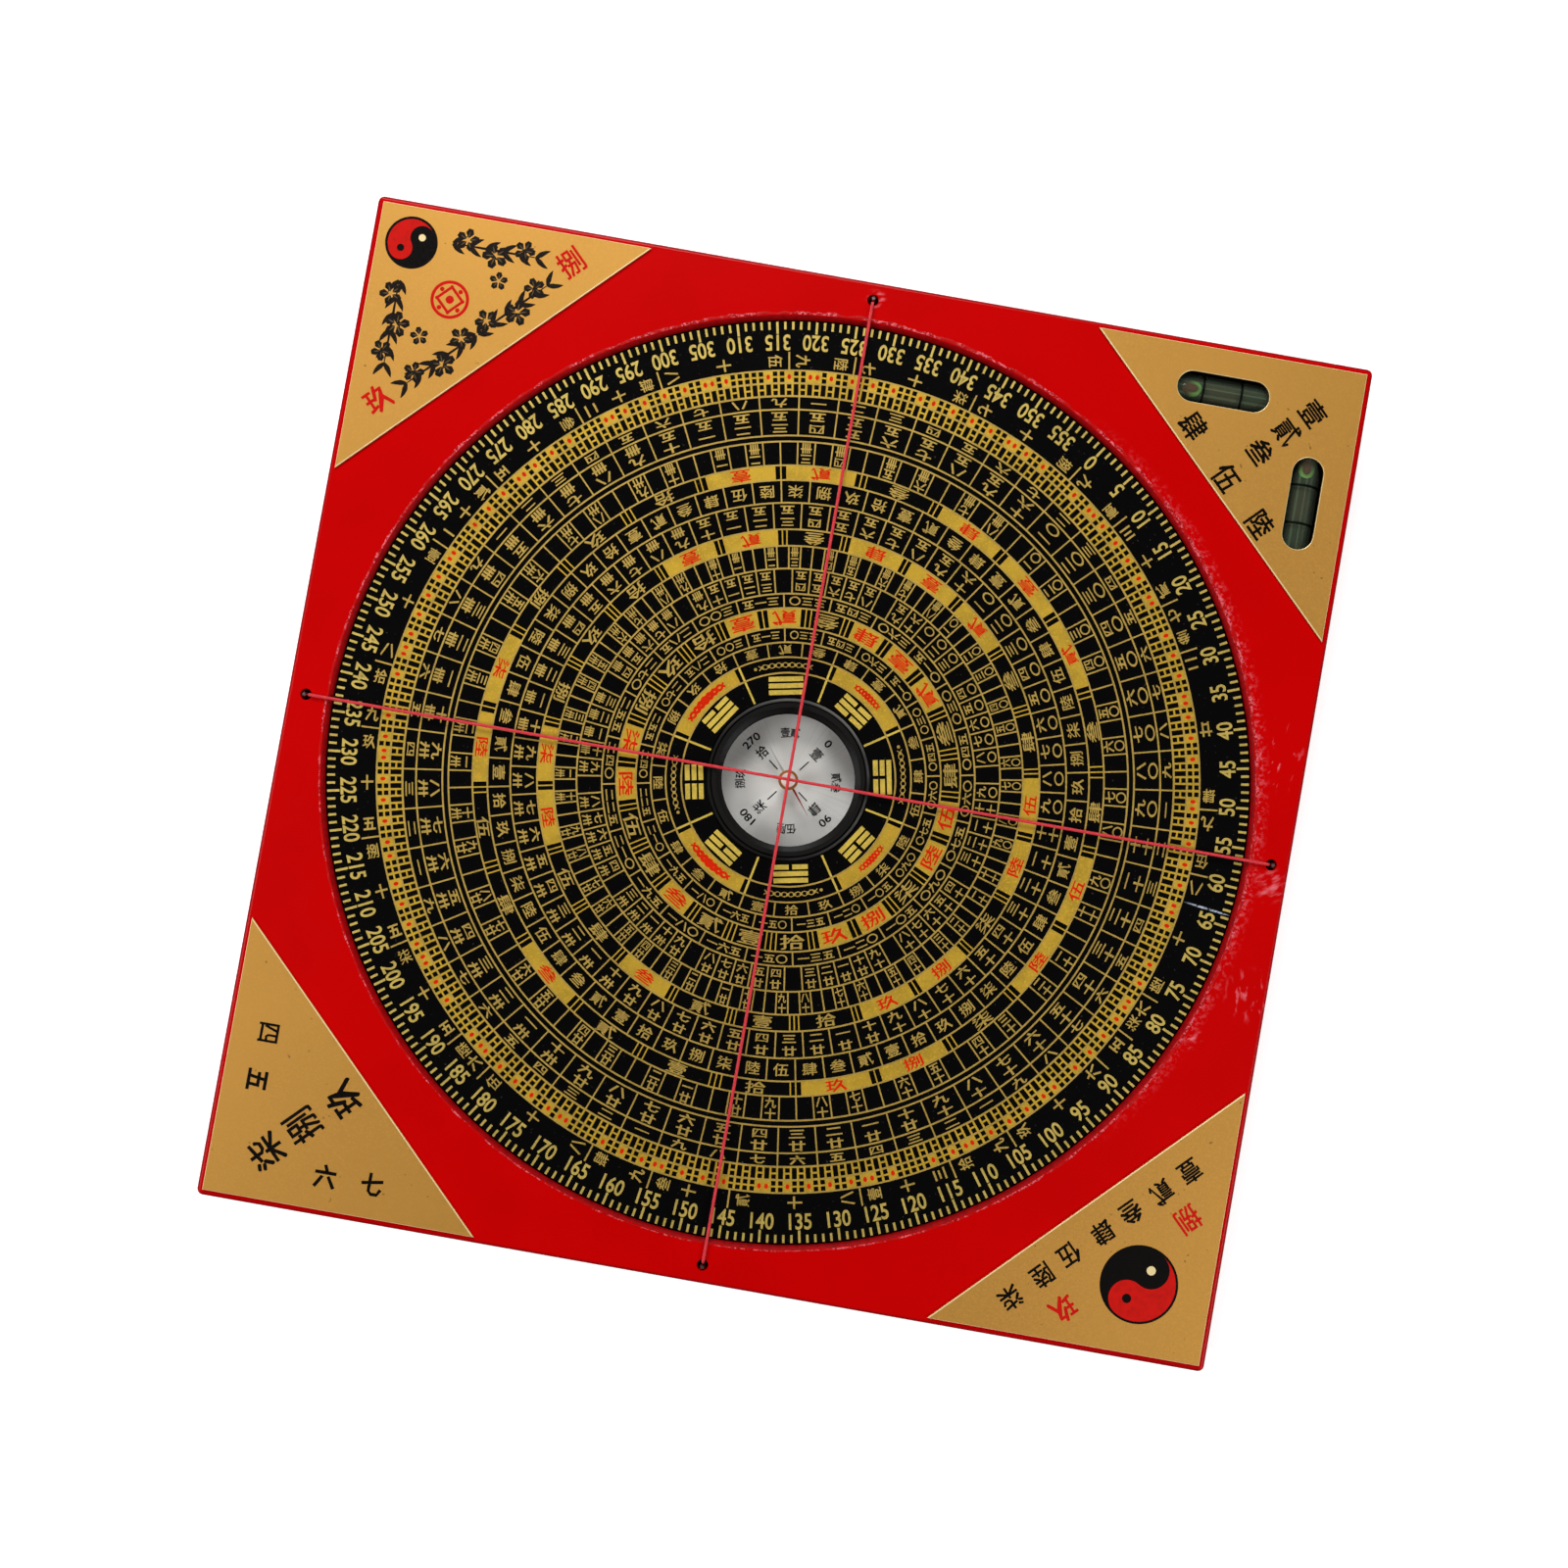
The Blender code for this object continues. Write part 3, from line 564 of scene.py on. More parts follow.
def red_lacquer(look):
    """Return the frame's lacquer, with painted shade along its edges, in the recess and in the vials'
    pockets, and a mottled worn side and scuffs.
    """
    paint = Finish("red_lacquer", look.lacquer, 0.22)
    radius = paint.reach()
    height = paint.part(paint.place, 2)
    shade = toned(look.lacquer, 0.93)
    base = paint.mix(paint.band(paint.grain(45, 3), 0.35, 0.75), look.lacquer, shade)
    across = paint.node("VectorMath", {0: paint.place}, operation="ABSOLUTE").outputs[0]
    out = paint.any(paint.part(across, 0), paint.part(across, 1))
    # Painted shade: the lacquer turns darker along the board's rounded edges and sides.
    edge = paint.band(out, *EDGE_SHADE_FADE)
    base = paint.mix(edge, base, look.edge)

    # Painted shade: the lacquer down in the recess, inside the rim, turns dark.
    below = paint.band(height, *DEPTH_SHADE_FADE)
    inside = paint.band(radius, look.rim_radius + 1.0 * MM, look.rim_radius + 0.2 * MM)
    base = paint.mix(paint.both(below, inside), base, look.shade)
    # Painted shade: the walls down in the vials' pockets turn near black.
    corner = paint.band(paint.reach(POCKET_CORNER), *POCKET_SHADE_CORNER_FADE)
    pocket = paint.both(below, corner, paint.band(out, *POCKET_SHADE_SLOT_FADE))
    base = paint.mix(pocket, base, look.pocket)

    patches = []
    for scuff in SCUFFS:
        centre = (scuff.x * MM, scuff.y * MM, 0)
        near = paint.band(paint.reach(centre), scuff.reach * MM, scuff.reach * SCUFF_CORE * MM)
        lines = paint.local(turn=math.radians(scuff.turn), size=(2.6, 1, 1))
        patches.append(paint.both(near, paint.band(paint.grain(900, 3, lines), scuff.least, 0.72)))
    side = paint.part(paint.local(turn=look.rim_side - math.radians(55)), 0)
    near_rim = paint.band(radius, look.rim_radius + 3.2 * MM, look.rim_radius + 0.05 * MM)
    flank = paint.both(paint.band(side, *FLANK_FADE), near_rim)
    patches.append(paint.both(flank, paint.band(paint.grain(1300, 4), 0.46, 0.72), 0.6))
    worn = paint.both(paint.any(*patches), paint.band(height, *WORN_FADE))
    paint.set("Base Color", paint.mix(worn, base, look.worn))
    paint.set("Roughness", paint.spread(paint.any(worn, edge), 0.22, 0.55))
    paint.set("Specular IOR Level", paint.spread(edge, 0.15, 0.03))
    paint.bump(paint.grain(420, 2), 0.000012)
    return paint.material


def back_lacquer(look):
    """Return the back panel's lacquer, rubbed dull over its underside."""
    paint = Finish("back_panel_lacquer", look.back, 0.45)
    rubbed = paint.band(paint.grain(70, 4), 0.45, 0.75)
    paint.set("Base Color", paint.mix(rubbed, look.back, toned(look.back, 0.72)))
    paint.set("Roughness", paint.spread(rubbed, 0.45, 0.65))
    paint.set("Specular IOR Level", 0.12)
    paint.bump(paint.grain(300, 3), 0.00004)
    return paint.material


def rim_lacquer(look):
    """Return the ragged rim's chipped lacquer."""
    paint = Finish("rim_lacquer", look.lacquer, 0.5)
    chips = paint.band(paint.grain(2300, 4), 0.46, 0.58)
    streaks = paint.band(paint.grain(260, 2), 0.42, 0.60)
    base = paint.mix(chips, toned(look.lacquer, 0.62), look.worn)
    paint.set("Base Color", paint.mix(streaks, toned(look.lacquer, 0.8), base))
    paint.set("Specular IOR Level", 0.15)
    paint.bump(paint.grain(2300, 3), 0.00008)
    return paint.material


def lip_lacquer(look):
    """Return the lacquer that lines the recess below its rim, darkened as painted shade."""
    paint = Finish("lip_lacquer", look.lip, 0.55)
    mottle = paint.band(paint.grain(900, 3), 0.40, 0.65)
    # Painted shade: the lip's dark red stands for the shade in the gap round the dial.
    paint.set("Base Color", paint.mix(mottle, look.lip, toned(look.lip, 0.72)))
    paint.set("Specular IOR Level", 0.08)
    paint.bump(paint.grain(900, 2), 0.00004)
    return paint.material


class COMPASS_OT_finish_board(Operator):
    """Lacquer the frame and the back panel"""

    bl_idname = "compass.finish_board"
    bl_label = "Finish Board"

    def execute(self, context):
        look = context.scene.board_look
        finish_nodes(red_lacquer(look), "base_frame")
        finish_nodes(back_lacquer(look), "back_panel")
        return {"FINISHED"}


def ring_of(section, radius, steps):
    """Return a bmesh of a closed section, (out, up) in units of its own, spun round at a radius."""
    shape = bmesh.new()
    points = [shape.verts.new((radius + out, 0, up)) for out, up in section]
    edges = [shape.edges.new((points[i - 1], points[i])) for i in range(len(points))]
    around = {"cent": (0, 0, 0), "axis": (0, 0, 1), "angle": math.tau}
    bmesh.ops.spin(shape, geom=points + edges, steps=steps, use_merge=True, **around)
    return shape


class COMPASS_OT_add_rim(Operator):
    """Add the lip of lacquer inside the recess and the ragged rim round it"""

    bl_idname = "compass.add_rim"
    bl_label = "Add Rim"
    lip_section = (
        (-0.97, -1.0),
        (-0.85, -0.62),
        (-0.4, -0.20),
        (0.06, 0.02),
        (0.1, -0.4),
        (-0.4, -1.1),
        (-0.8, -1.2),
    )
    rim_section = ((0, -0.2), (1, -0.2), (0.92, 0.35), (0.6, 0.9), (0.3, 1), (0.06, 0.5))
    lip_steps = 240
    rim_steps = 900

    def execute(self, context):
        look = context.scene.board_look
        lip = ring_of(self.lip_section, look.rim_radius / MM, self.lip_steps)
        bmesh.ops.scale(lip, vec=(MM, MM, MM), verts=lip.verts)
        bmesh.ops.translate(lip, vec=(0, 0, BOARD_TOP), verts=lip.verts)
        add_mesh("recess_lip", closed_block(lip), [lip_lacquer(look)], "base", "red_lacquer", smooth=True)

        rim = ring_of(self.rim_section, look.rim_radius / MM, self.rim_steps)
        for vert in rim.verts:
            self.roughen(vert, look)
        add_mesh("recess_rim", closed_block(rim), [rim_lacquer(look)], "base", "red_lacquer", smooth=True)
        return {"FINISHED"}

    def roughen(self, vert, look):
        """Move a point of the rim in or out and up or down, most on the ragged side."""
        direction = vert.co.xy.normalized()
        share = vert.co.xy.length - look.rim_radius / MM
        side = 0.5 + 0.5 * direction.dot(Vector((math.cos(look.rim_side), math.sin(look.rim_side))))
        ragged = 0.75 + 0.55 * noise.noise(Vector((*direction, 0.3)) * 30)
        ragged += 0.45 * noise.noise(Vector((*direction, 0.7)) * 110)
        width = (look.rim_narrow + (look.rim_wide - look.rim_narrow) * side) * max(0.25, ragged)
        lumps = 0.8 + 0.5 * noise.noise(Vector((*direction, share)) * 70)
        vert.co.xy = direction * (look.rim_radius + share * width)
        vert.co.z = BOARD_TOP + vert.co.z * look.rim_height * (lumps if vert.co.z > 0 else 1)


# Corner plates

CORNERS = ("tl", "tr", "bl", "br")


def plate_gold(look):
    """Return the plates' satin gold, with a fine grain and small dark specks."""
    metal = Finish("plate_gold", look.gold, 0.5, 0.7)
    cloud = metal.band(metal.grain(22, 2), 0.3, 0.7)
    fine = metal.grain(2600, 2)
    base = metal.mix(cloud, look.gold, toned(look.gold, 0.94))
    base = metal.mix(metal.band(fine, 0.40, 0.75), base, toned(look.gold, 1.05))
    specks = metal.band(metal.grain(1100, 0), 0.85, 0.88)
    metal.set("Base Color", metal.mix(metal.both(specks, 0.6), base, toned(look.gold, 0.30)))
    metal.set("Roughness", metal.spread(fine, 0.44, 0.60))
    metal.bump(fine, 0.000006)
    return metal.material


def plate_edge(look):
    """Return the pale gold painted as a highlight on the plates' rounded edges and slanted line; it also
    prints the emblems' gold dots.
    """
    metal = Finish("plate_edge", look.edge, 0.35, 0.15)
    metal.set("Roughness", metal.spread(metal.grain(1800), 0.25, 0.45))
    return metal.material


class COMPASS_OT_round_plates(Operator):
    """Round the upper edges of the four corner plates, with a painted highlight in pale gold on the rounded
    edges and along the slanted edge
    """

    bl_idname = "compass.round_plates"
    bl_label = "Round Corner Plates"

    def execute(self, context):
        look = context.scene.plate_look
        materials = [plate_gold(look), plate_edge(look)]
        for corner in CORNERS:
            node = "corner_plate_" + corner
            shape = bmesh.new()
            shape.from_mesh(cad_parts[node].data)
            bmesh.ops.remove_doubles(shape, verts=shape.verts, dist=MERGE_DISTANCE)
            bmesh.ops.dissolve_limit(shape, angle_limit=math.radians(1), verts=shape.verts, edges=shape.edges)
            top = [face for face in shape.faces if face.normal.z > 0.9]
            rim = [edge for edge in shape.edges if len({f in top for f in edge.link_faces}) == 2]
            made = bmesh.ops.bevel(
                shape, geom=rim, offset=look.edge_round, segments=2, affect="EDGES", profile=0.5, material=-1
            )
            # Painted highlight: the rounded edges take the pale gold.
            for face in made["faces"]:
                face.material_index = 1
            shape.normal_update()
            top = [face for face in shape.faces if face.normal.z > 0.99]
            slant = min(abs(vert.co.x) + abs(vert.co.y) for vert in shape.verts)
            reach = slant + 2 * (look.edge_line + look.edge_round)
            # Painted highlight: a strip along the slanted edge takes the pale gold.
            for face in bmesh.ops.inset_region(shape, faces=top, thickness=look.edge_line)["faces"]:
                if all(abs(vert.co.x) + abs(vert.co.y) < reach for vert in face.verts):
                    face.material_index = 1
            plate = add_piece("plate_" + corner, shape, materials, "base", "gold_plate")
            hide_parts(node)
        return {"FINISHED"}


def plain_ink(name, base, roughness=0.28):
    """Return a flat ink with a slightly uneven coat."""
    ink = Finish(name, base, roughness)
    uneven = ink.grain(900, 2)
    ink.set("Base Color", ink.mix(ink.band(uneven, 0.35, 0.75), base, toned(base, 0.82)))
    ink.set("Roughness", ink.spread(uneven, roughness - 0.06, roughness + 0.06))
    ink.set("Specular IOR Level", 0.12)
    return ink.material


class PlateSign(NamedTuple):
    """A number sign on a corner plate, in mm, with the direction of its top in degrees."""

    text: str
    x: float
    y: float
    size: float
    up: float


BLACK_SIGNS = (
    PlateSign("壹", 94.3, 94.1, 5.6, 45),
    PlateSign("貳", 89.6, 89.4, 5.6, 45),
    PlateSign("叁", 84.8, 84.3, 5.6, 45),
    PlateSign("肆", 70.2, 87.2, 5.8, 45),
    PlateSign("伍", 78.8, 77.7, 5.8, 45),
    PlateSign("陸", 87.3, 69.4, 5.8, 45),
    PlateSign("柒", -92.6, -94.3, 7.4, -135),
    PlateSign("捌", -86.2, -87.7, 7.4, -135),
    PlateSign("玖", -78.9, -81.0, 7.4, -135),
    PlateSign("四", -96.4, -70.2, 5.0, 0),
    PlateSign("五", -97.0, -80.1, 5.0, 0),
    PlateSign("六", -79.7, -97.2, 5.0, 90),
    PlateSign("七", -69.9, -97.2, 5.0, 90),
    PlateSign("壹", 95.6, -65.2, 5.0, -45),
    PlateSign("貳", 90.7, -70.5, 5.0, -45),
    PlateSign("叁", 85.1, -75.6, 5.0, -45),
    PlateSign("肆", 80.1, -80.7, 5.0, -45),
    PlateSign("伍", 74.0, -86.4, 5.0, -45),
    PlateSign("陸", 69.3, -91.5, 5.0, -45),
    PlateSign("柒", 63.6, -97.2, 5.0, -45),
)
RED_SIGNS = (
    PlateSign("捌", -63.4, 98.3, 6.0, 135),
    PlateSign("玖", -98.0, 63.1, 6.0, 135),
    PlateSign("捌", 96.9, -75.0, 5.6, -45),
    PlateSign("玖", 74.7, -97.5, 5.6, -45),
)


class COMPASS_OT_print_plate_signs(Operator):
    """Print the number signs on the corner plates"""

    bl_idname = "compass.print_plate_signs"
    bl_label = "Print Plate Signs"
    share = 0.93

    def execute(self, context):
        look = context.scene.plate_look
        black = plain_ink("plate_black", look.black)
        red = plain_ink("plate_red", look.red)
        printed = (("plate_signs_black", BLACK_SIGNS, black), ("plate_signs_red", RED_SIGNS, red))
        for name, signs, ink in printed:
            sheet = Sheet(PLATE_TOP)
            for sign in signs:
                size = sign.size * self.share * MM
                sheet.write(sign.text, on_plate(sign.x, sign.y, sign.up), size, size, FOUR_STRIKES)
            sheet.finish(name, ink, "base", "gold_plate")
        return {"FINISHED"}


class Emblem(NamedTuple):
    """A yin-yang in mm and degrees. Its axis runs through the dots, with the red half on one side."""

    x: float
    y: float
    radius: float
    outline: float
    axis: float
    red_side: int
    dot: float


EMBLEMS = (Emblem(-96.9, 96.6, 5.5, 0.55, 34, 1, 0.75), Emblem(89.2, -89.9, 8.1, 0.5, 57.7, -1, 0.95))


def arc(centre, radius, start, end, steps):
    """Return points along an arc from one angle to another, in degrees."""
    turns = [math.radians(start + (end - start) * i / steps) for i in range(steps + 1)]
    return [(centre + radius * math.cos(turn), radius * math.sin(turn)) for turn in turns]


@functools.cache
def comma_block(side, steps=24):
    """Return one half of a yin-yang of radius 1, its head on the -X side."""
    outline = arc(0, 1, 0, 180, 2 * steps)
    outline += arc(-0.5, 0.5, 180, 360, steps)[1:]
    outline += arc(0.5, 0.5, 180, 0, steps)[1:-1]
    curve = bpy.data.curves.new("comma", "CURVE")
    curve.dimensions = "2D"
    curve.fill_mode = "BOTH"
    curve.extrude = 0.5
    add_line(curve, [(x, side * y, 0) for x, y in outline], closed=True)
    block = curve_block(curve)
    block.transform(Matrix.Translation((0, 0, 0.5)))
    return block


class COMPASS_OT_print_emblems(Operator):
    """Print the two yin-yang emblems"""

    bl_idname = "compass.print_emblems"
    bl_label = "Print Emblems"

    def execute(self, context):
        look = context.scene.plate_look
        black = Sheet(PLATE_TOP)
        red = Sheet(PLATE_TOP)
        black_dots = Sheet(PLATE_TOP)
        gold_dots = Sheet(PLATE_TOP)
        for emblem in EMBLEMS:
            place = on_plate(emblem.x, emblem.y, emblem.axis + 90)
            inner = (emblem.radius - emblem.outline) * MM
            eye = Matrix.Translation((inner / 2, 0, 0))
            dot = 2 * emblem.dot * MM
            black.stamp(dot_block(64), place, 2 * emblem.radius * MM, 2 * emblem.radius * MM)
            red.stamp(comma_block(emblem.red_side), place, inner, inner, 2)
            gold_dots.stamp(dot_block(24), place @ eye, dot, dot, 2)
            black_dots.stamp(dot_block(24), place @ eye.inverted(), dot, dot, 3)
        black.finish("emblem_black", made("plate_black"), "base", "gold_plate")
        red.finish("emblem_red", made("plate_red"), "base", "gold_plate")
        black_dots.finish("emblem_black_dots", made("plate_black"), "base", "gold_plate")
        gold_dots.finish("emblem_gold_dots", made("plate_edge"), "base", "gold_plate")
        return {"FINISHED"}


class Strokes:
    """Brush strokes, laid as flattened tubes whose width follows the brush."""

    def __init__(self):
        self.curve = tube_curve("strokes", 1)

    def draw(self, points, place=Matrix.Identity(4), fineness=5, closed=False):
        """Add a stroke through (x, y, half width) points in mm, its ends joined where it is closed."""
        spline = self.curve.splines.new("BEZIER")
        spline.bezier_points.add(len(points) - 1)
        spline.resolution_u = fineness
        spline.use_cyclic_u = closed
        for knot, (x, y, half) in zip(spline.bezier_points, points):
            knot.co = place @ Vector((x, y, 0))
            knot.radius = half
            knot.handle_left_type = "AUTO"
            knot.handle_right_type = "AUTO"

    def print(self, name, face, thickest, material, body="base", slot="gold_plate"):
        """Flatten the strokes on to a face, one layer high at the thickest, and make a piece of them."""
        mesh = curve_block(self.curve)
        flat = INK_LAYER / thickest
        mesh.transform(Matrix.Translation((0, 0, face)) @ Matrix.Diagonal((MM, MM, flat, 1)))
        return add_mesh(name, mesh, [material], body, slot)


def leaf(x, y, heading, size, bend):
    """Return a pointed leaf's stroke from a point, in mm and degrees."""
    points = []
    for share, half in ((0.0, 0.10), (0.35, 0.17), (0.35, 0.12), (0.3, 0.02)):
        x += share * size * math.cos(math.radians(heading))
        y += share * size * math.sin(math.radians(heading))
        points.append((x, y, half * size))
        heading += bend
    return points


def bead(x, y, radius):
    """Return a short stroke that prints as a round bead, in mm."""
    profile = ((-1, 0.2), (-0.6, 0.8), (0, 1), (0.6, 0.8), (1, 0.2))
    return [(x + along * radius, y, half * radius) for along, half in profile]


class Sprig(NamedTuple):
    """A straight sprig of blossoms: its middle in mm and its heading in degrees."""

    x: float
    y: float
    heading: float


class Blossom(NamedTuple):
    """A five-petalled blossom: its middle and radius in mm and its turn in degrees."""

    x: float
    y: float
    radius: float
    turn: float

    def strokes(self, outline):
        """Return a stroke for each petal, its (out, half width) points in units of the radius."""
        for i in range(5):
            angle = math.radians(self.turn + 72 * i)
            yield [
                (
                    self.x + self.radius * out * math.cos(angle),
                    self.y + self.radius * out * math.sin(angle),
                    self.radius * half,
                )
                for out, half in outline
            ]


class COMPASS_OT_print_sprigs(Operator):
    """Print the blossom sprigs along the top left plate's edges and the medallion between them"""

    bl_idname = "compass.print_sprigs"
    bl_label = "Print Sprigs"
    sprigs = (Sprig(-73.6, 86.5, 45), Sprig(-79.5, 98.0, 0))
    reach = 8.8
    twig_half = 0.32
    leaf_pairs = 6
    leaf_size = 3.3
    leaf_turn = 52
    leaf_bend = 9
    tip_half = 0.1
    blossoms = (Blossom(-5.9, 1.2, 2.4, 10), Blossom(0.3, -1.1, 2.7, 40), Blossom(6.2, 1.0, 2.2, 70))
    loose = (Blossom(-77.6, 91.8, 1.9, 20),)
    petal = ((0.22, 0.08), (0.62, 0.36), (1.0, 0.20))
    vein = ((0.15, 0.02), (0.45, 0.05), (0.72, 0.02))
    black_thickest = 1.0
    vein_thickest = 0.135
    medallion_middle = (-86.9, 86.2)
    medallion_radius = 3.7
    ring_half = 0.34
    lozenge_reach = 2.7
    lozenge_half = 0.3
    heart_bead = 0.9
    corner_bead = 0.42
    field_bead = (1.95, 1.95, 0.5)

    def twig_strokes(self):
        """Return the twig of a sprig and its pairs of leaves."""
        yield [(-self.reach, 0, self.tip_half), (0, 0, self.twig_half), (self.reach, 0, self.tip_half)]
        for i in range(self.leaf_pairs):
            x = self.reach * (2 * i / (self.leaf_pairs - 1) - 1)
            for side in (-1, 1):
                yield leaf(x, 0, side * self.leaf_turn, self.leaf_size, -side * self.leaf_bend)

    def draw_medallion(self):
        """Return the strokes of a ring round a lozenge and its beads."""
        medallion = Strokes()
        heart = Matrix.Translation((*self.medallion_middle, 0))
        turns = [math.tau * i / 16 for i in range(16)]
        radius = self.medallion_radius
        ring = [(radius * math.cos(a), radius * math.sin(a), self.ring_half) for a in turns]
        medallion.draw(ring, heart, 3, closed=True)
        medallion.draw(bead(0, 0, self.heart_bead), heart, 4)
        for i in range(4):
            quarter = heart @ Matrix.Rotation(math.tau * i / 4, 4, "Z")
            side = [(self.lozenge_reach, 0, self.lozenge_half), (0, self.lozenge_reach, self.lozenge_half)]
            medallion.draw(side, quarter, 2)
            medallion.draw(bead(self.lozenge_reach, 0, self.corner_bead), quarter, 3)
            medallion.draw(bead(*self.field_bead), quarter, 3)
        return medallion

    def execute(self, context):
        black = Strokes()
        veins = Strokes()
        across = Matrix(((0, -1, 0, 0), (-1, 0, 0, 0), (0, 0, 1, 0), (0, 0, 0, 1)))
        for side in (Matrix.Identity(4), across):
            groups = [(side, self.loose)]
            for sprig in self.sprigs:
                turn = Matrix.Rotation(math.radians(sprig.heading), 4, "Z")
                place = side @ Matrix.Translation((sprig.x, sprig.y, 0)) @ turn
                groups.append((place, self.blossoms))
                for stroke in self.twig_strokes():
                    black.draw(stroke, place, 3)
            for place, blossoms in groups:
                for blossom in blossoms:
                    for stroke in blossom.strokes(self.petal):
                        black.draw(stroke, place, 4)
                    for stroke in blossom.strokes(self.vein):
                        veins.draw(stroke, place, 3)
        look = context.scene.plate_look
        black.print("sprig_black", PLATE_TOP, self.black_thickest, plain_ink("sprig_ink", look.sprig))
        vein_ink = plain_ink("vein_ink", look.vein)
        veins.print("sprig_veins", PLATE_TOP + INK_LAYER, self.vein_thickest, vein_ink)
        self.draw_medallion().print("medallion", PLATE_TOP, self.heart_bead, made("plate_red"))
        return {"FINISHED"}


# Dial

RING_LINES = (
    22.25, 25.5, 28.6, 31.7, 35.75, 38.75, 44.0, 48.75, 52.2,
    57.75, 62.5, 65.6, 70.6, 71.85, 77.3, 80.1, 82.85, 85.5,
)
RING_STEPS = 180
TRIGRAMS = ("010", "001", "100", "011", "101", "000", "110", "111")
TRIGRAM_BAR = (7.2, 1.0, 0.7)
TRIGRAM_RADII = (18.15, 19.55, 20.95)
NAMED_ARC = 40
STREAK_MIDDLE = (90.3 * MM, -11.3 * MM, 0)
STREAK_TURN = math.radians(-7)
STREAK_REACH = (5.8 * MM, 0.3 * MM, 1)
STREAK_GREY = (0.5, 0.55, 0.65)
DUST_GREY = (0.20, 0.19, 0.17)
GOLD_BEARINGS = (0, 15, 60, 75, 105, 120, 180, 225, 240, 300, 315, 345)


def gold_ink(name, base):
    """Return gold print: a mottled coat with fine bright flakes."""
    ink = Finish(name, base, 0.48, 0.6)
    flakes = ink.grain(2400, 2)
    coat = ink.mix(ink.band(ink.grain(260, 3), 0.35, 0.7), base, toned(base, 0.80))
    ink.set("Base Color", ink.mix(ink.band(flakes, 0.50, 0.75), coat, toned(base, 1.15)))
    ink.set("Roughness", ink.spread(flakes, 0.40, 0.60))
    return ink.material


def dial_black(look):
    """Return the dial sheet's satin black, with dust and one rubbed streak near the edge."""
    sheet = Finish("dial_sheet", look.black, 0.22)
    dust = sheet.band(sheet.grain(1500, 2), 0.68, 0.80)
    near = sheet.band(sheet.norm(sheet.local(STREAK_MIDDLE, STREAK_TURN, STREAK_REACH)), 1.0, 0.4)
    rubbed = sheet.both(near, sheet.band(sheet.grain(1800), 0.35, 0.6))
    base = sheet.mix(sheet.both(dust, 0.20), look.black, DUST_GREY)
    sheet.set("Base Color", sheet.mix(rubbed, base, STREAK_GREY))
    sheet.set("Roughness", sheet.spread(sheet.grain(500, 3), 0.19, 0.26))
    sheet.set("Specular IOR Level", 0.12)
    sheet.bump(sheet.grain(700, 2), 0.000008)
    return sheet.material


def core_black(look):
    """Return the dial disc's black edge, with the fine rings of its turning."""
    core = Finish("dial_disc_black", toned(look.black, 1.6), 0.5)
    rings = core.grain(1, 2, core.local(size=(0.02, 0.02, 0.0003)))
    core.set("Roughness", core.spread(rings, 0.38, 0.62))
    core.bump(rings, 0.00003)
    return core.material


class COMPASS_OT_finish_dial(Operator):
    """Give the dial's sheet and disc their black, and make the gold and red inks"""

    bl_idname = "compass.finish_dial"
    bl_label = "Finish Dial"

    def execute(self, context):
        look = context.scene.dial_look
        finish_nodes(dial_black(look), "dial_face")
        finish_nodes(core_black(look), "dial_disc")
        gold_ink("gold_ink", look.gold)
        gold_ink("sign_ink", look.sign)
        gold_ink("bright_ink", look.bright)
        gold_ink("tick_ink", look.pale)
        plain_ink("dial_red", look.red)
        plain_ink("dial_black_ink", look.black)
        return {"FINISHED"}


class COMPASS_OT_print_ring_lines(Operator):
    """Print the ring lines"""

    bl_idname = "compass.print_ring_lines"
    bl_label = "Print Ring Lines"

    def execute(self, context):
        half = context.scene.dial_look.line / 2
        sheet = Sheet(FACE_TOP)
        for radius in RING_LINES:
            ring = arc_block(radius * MM - half, radius * MM + half, math.tau, RING_STEPS)
            sheet.stamp(ring, Matrix.Identity(4), layer=RING_LAYER)
        sheet.finish("ring_lines", made("sign_ink"))
        return {"FINISHED"}


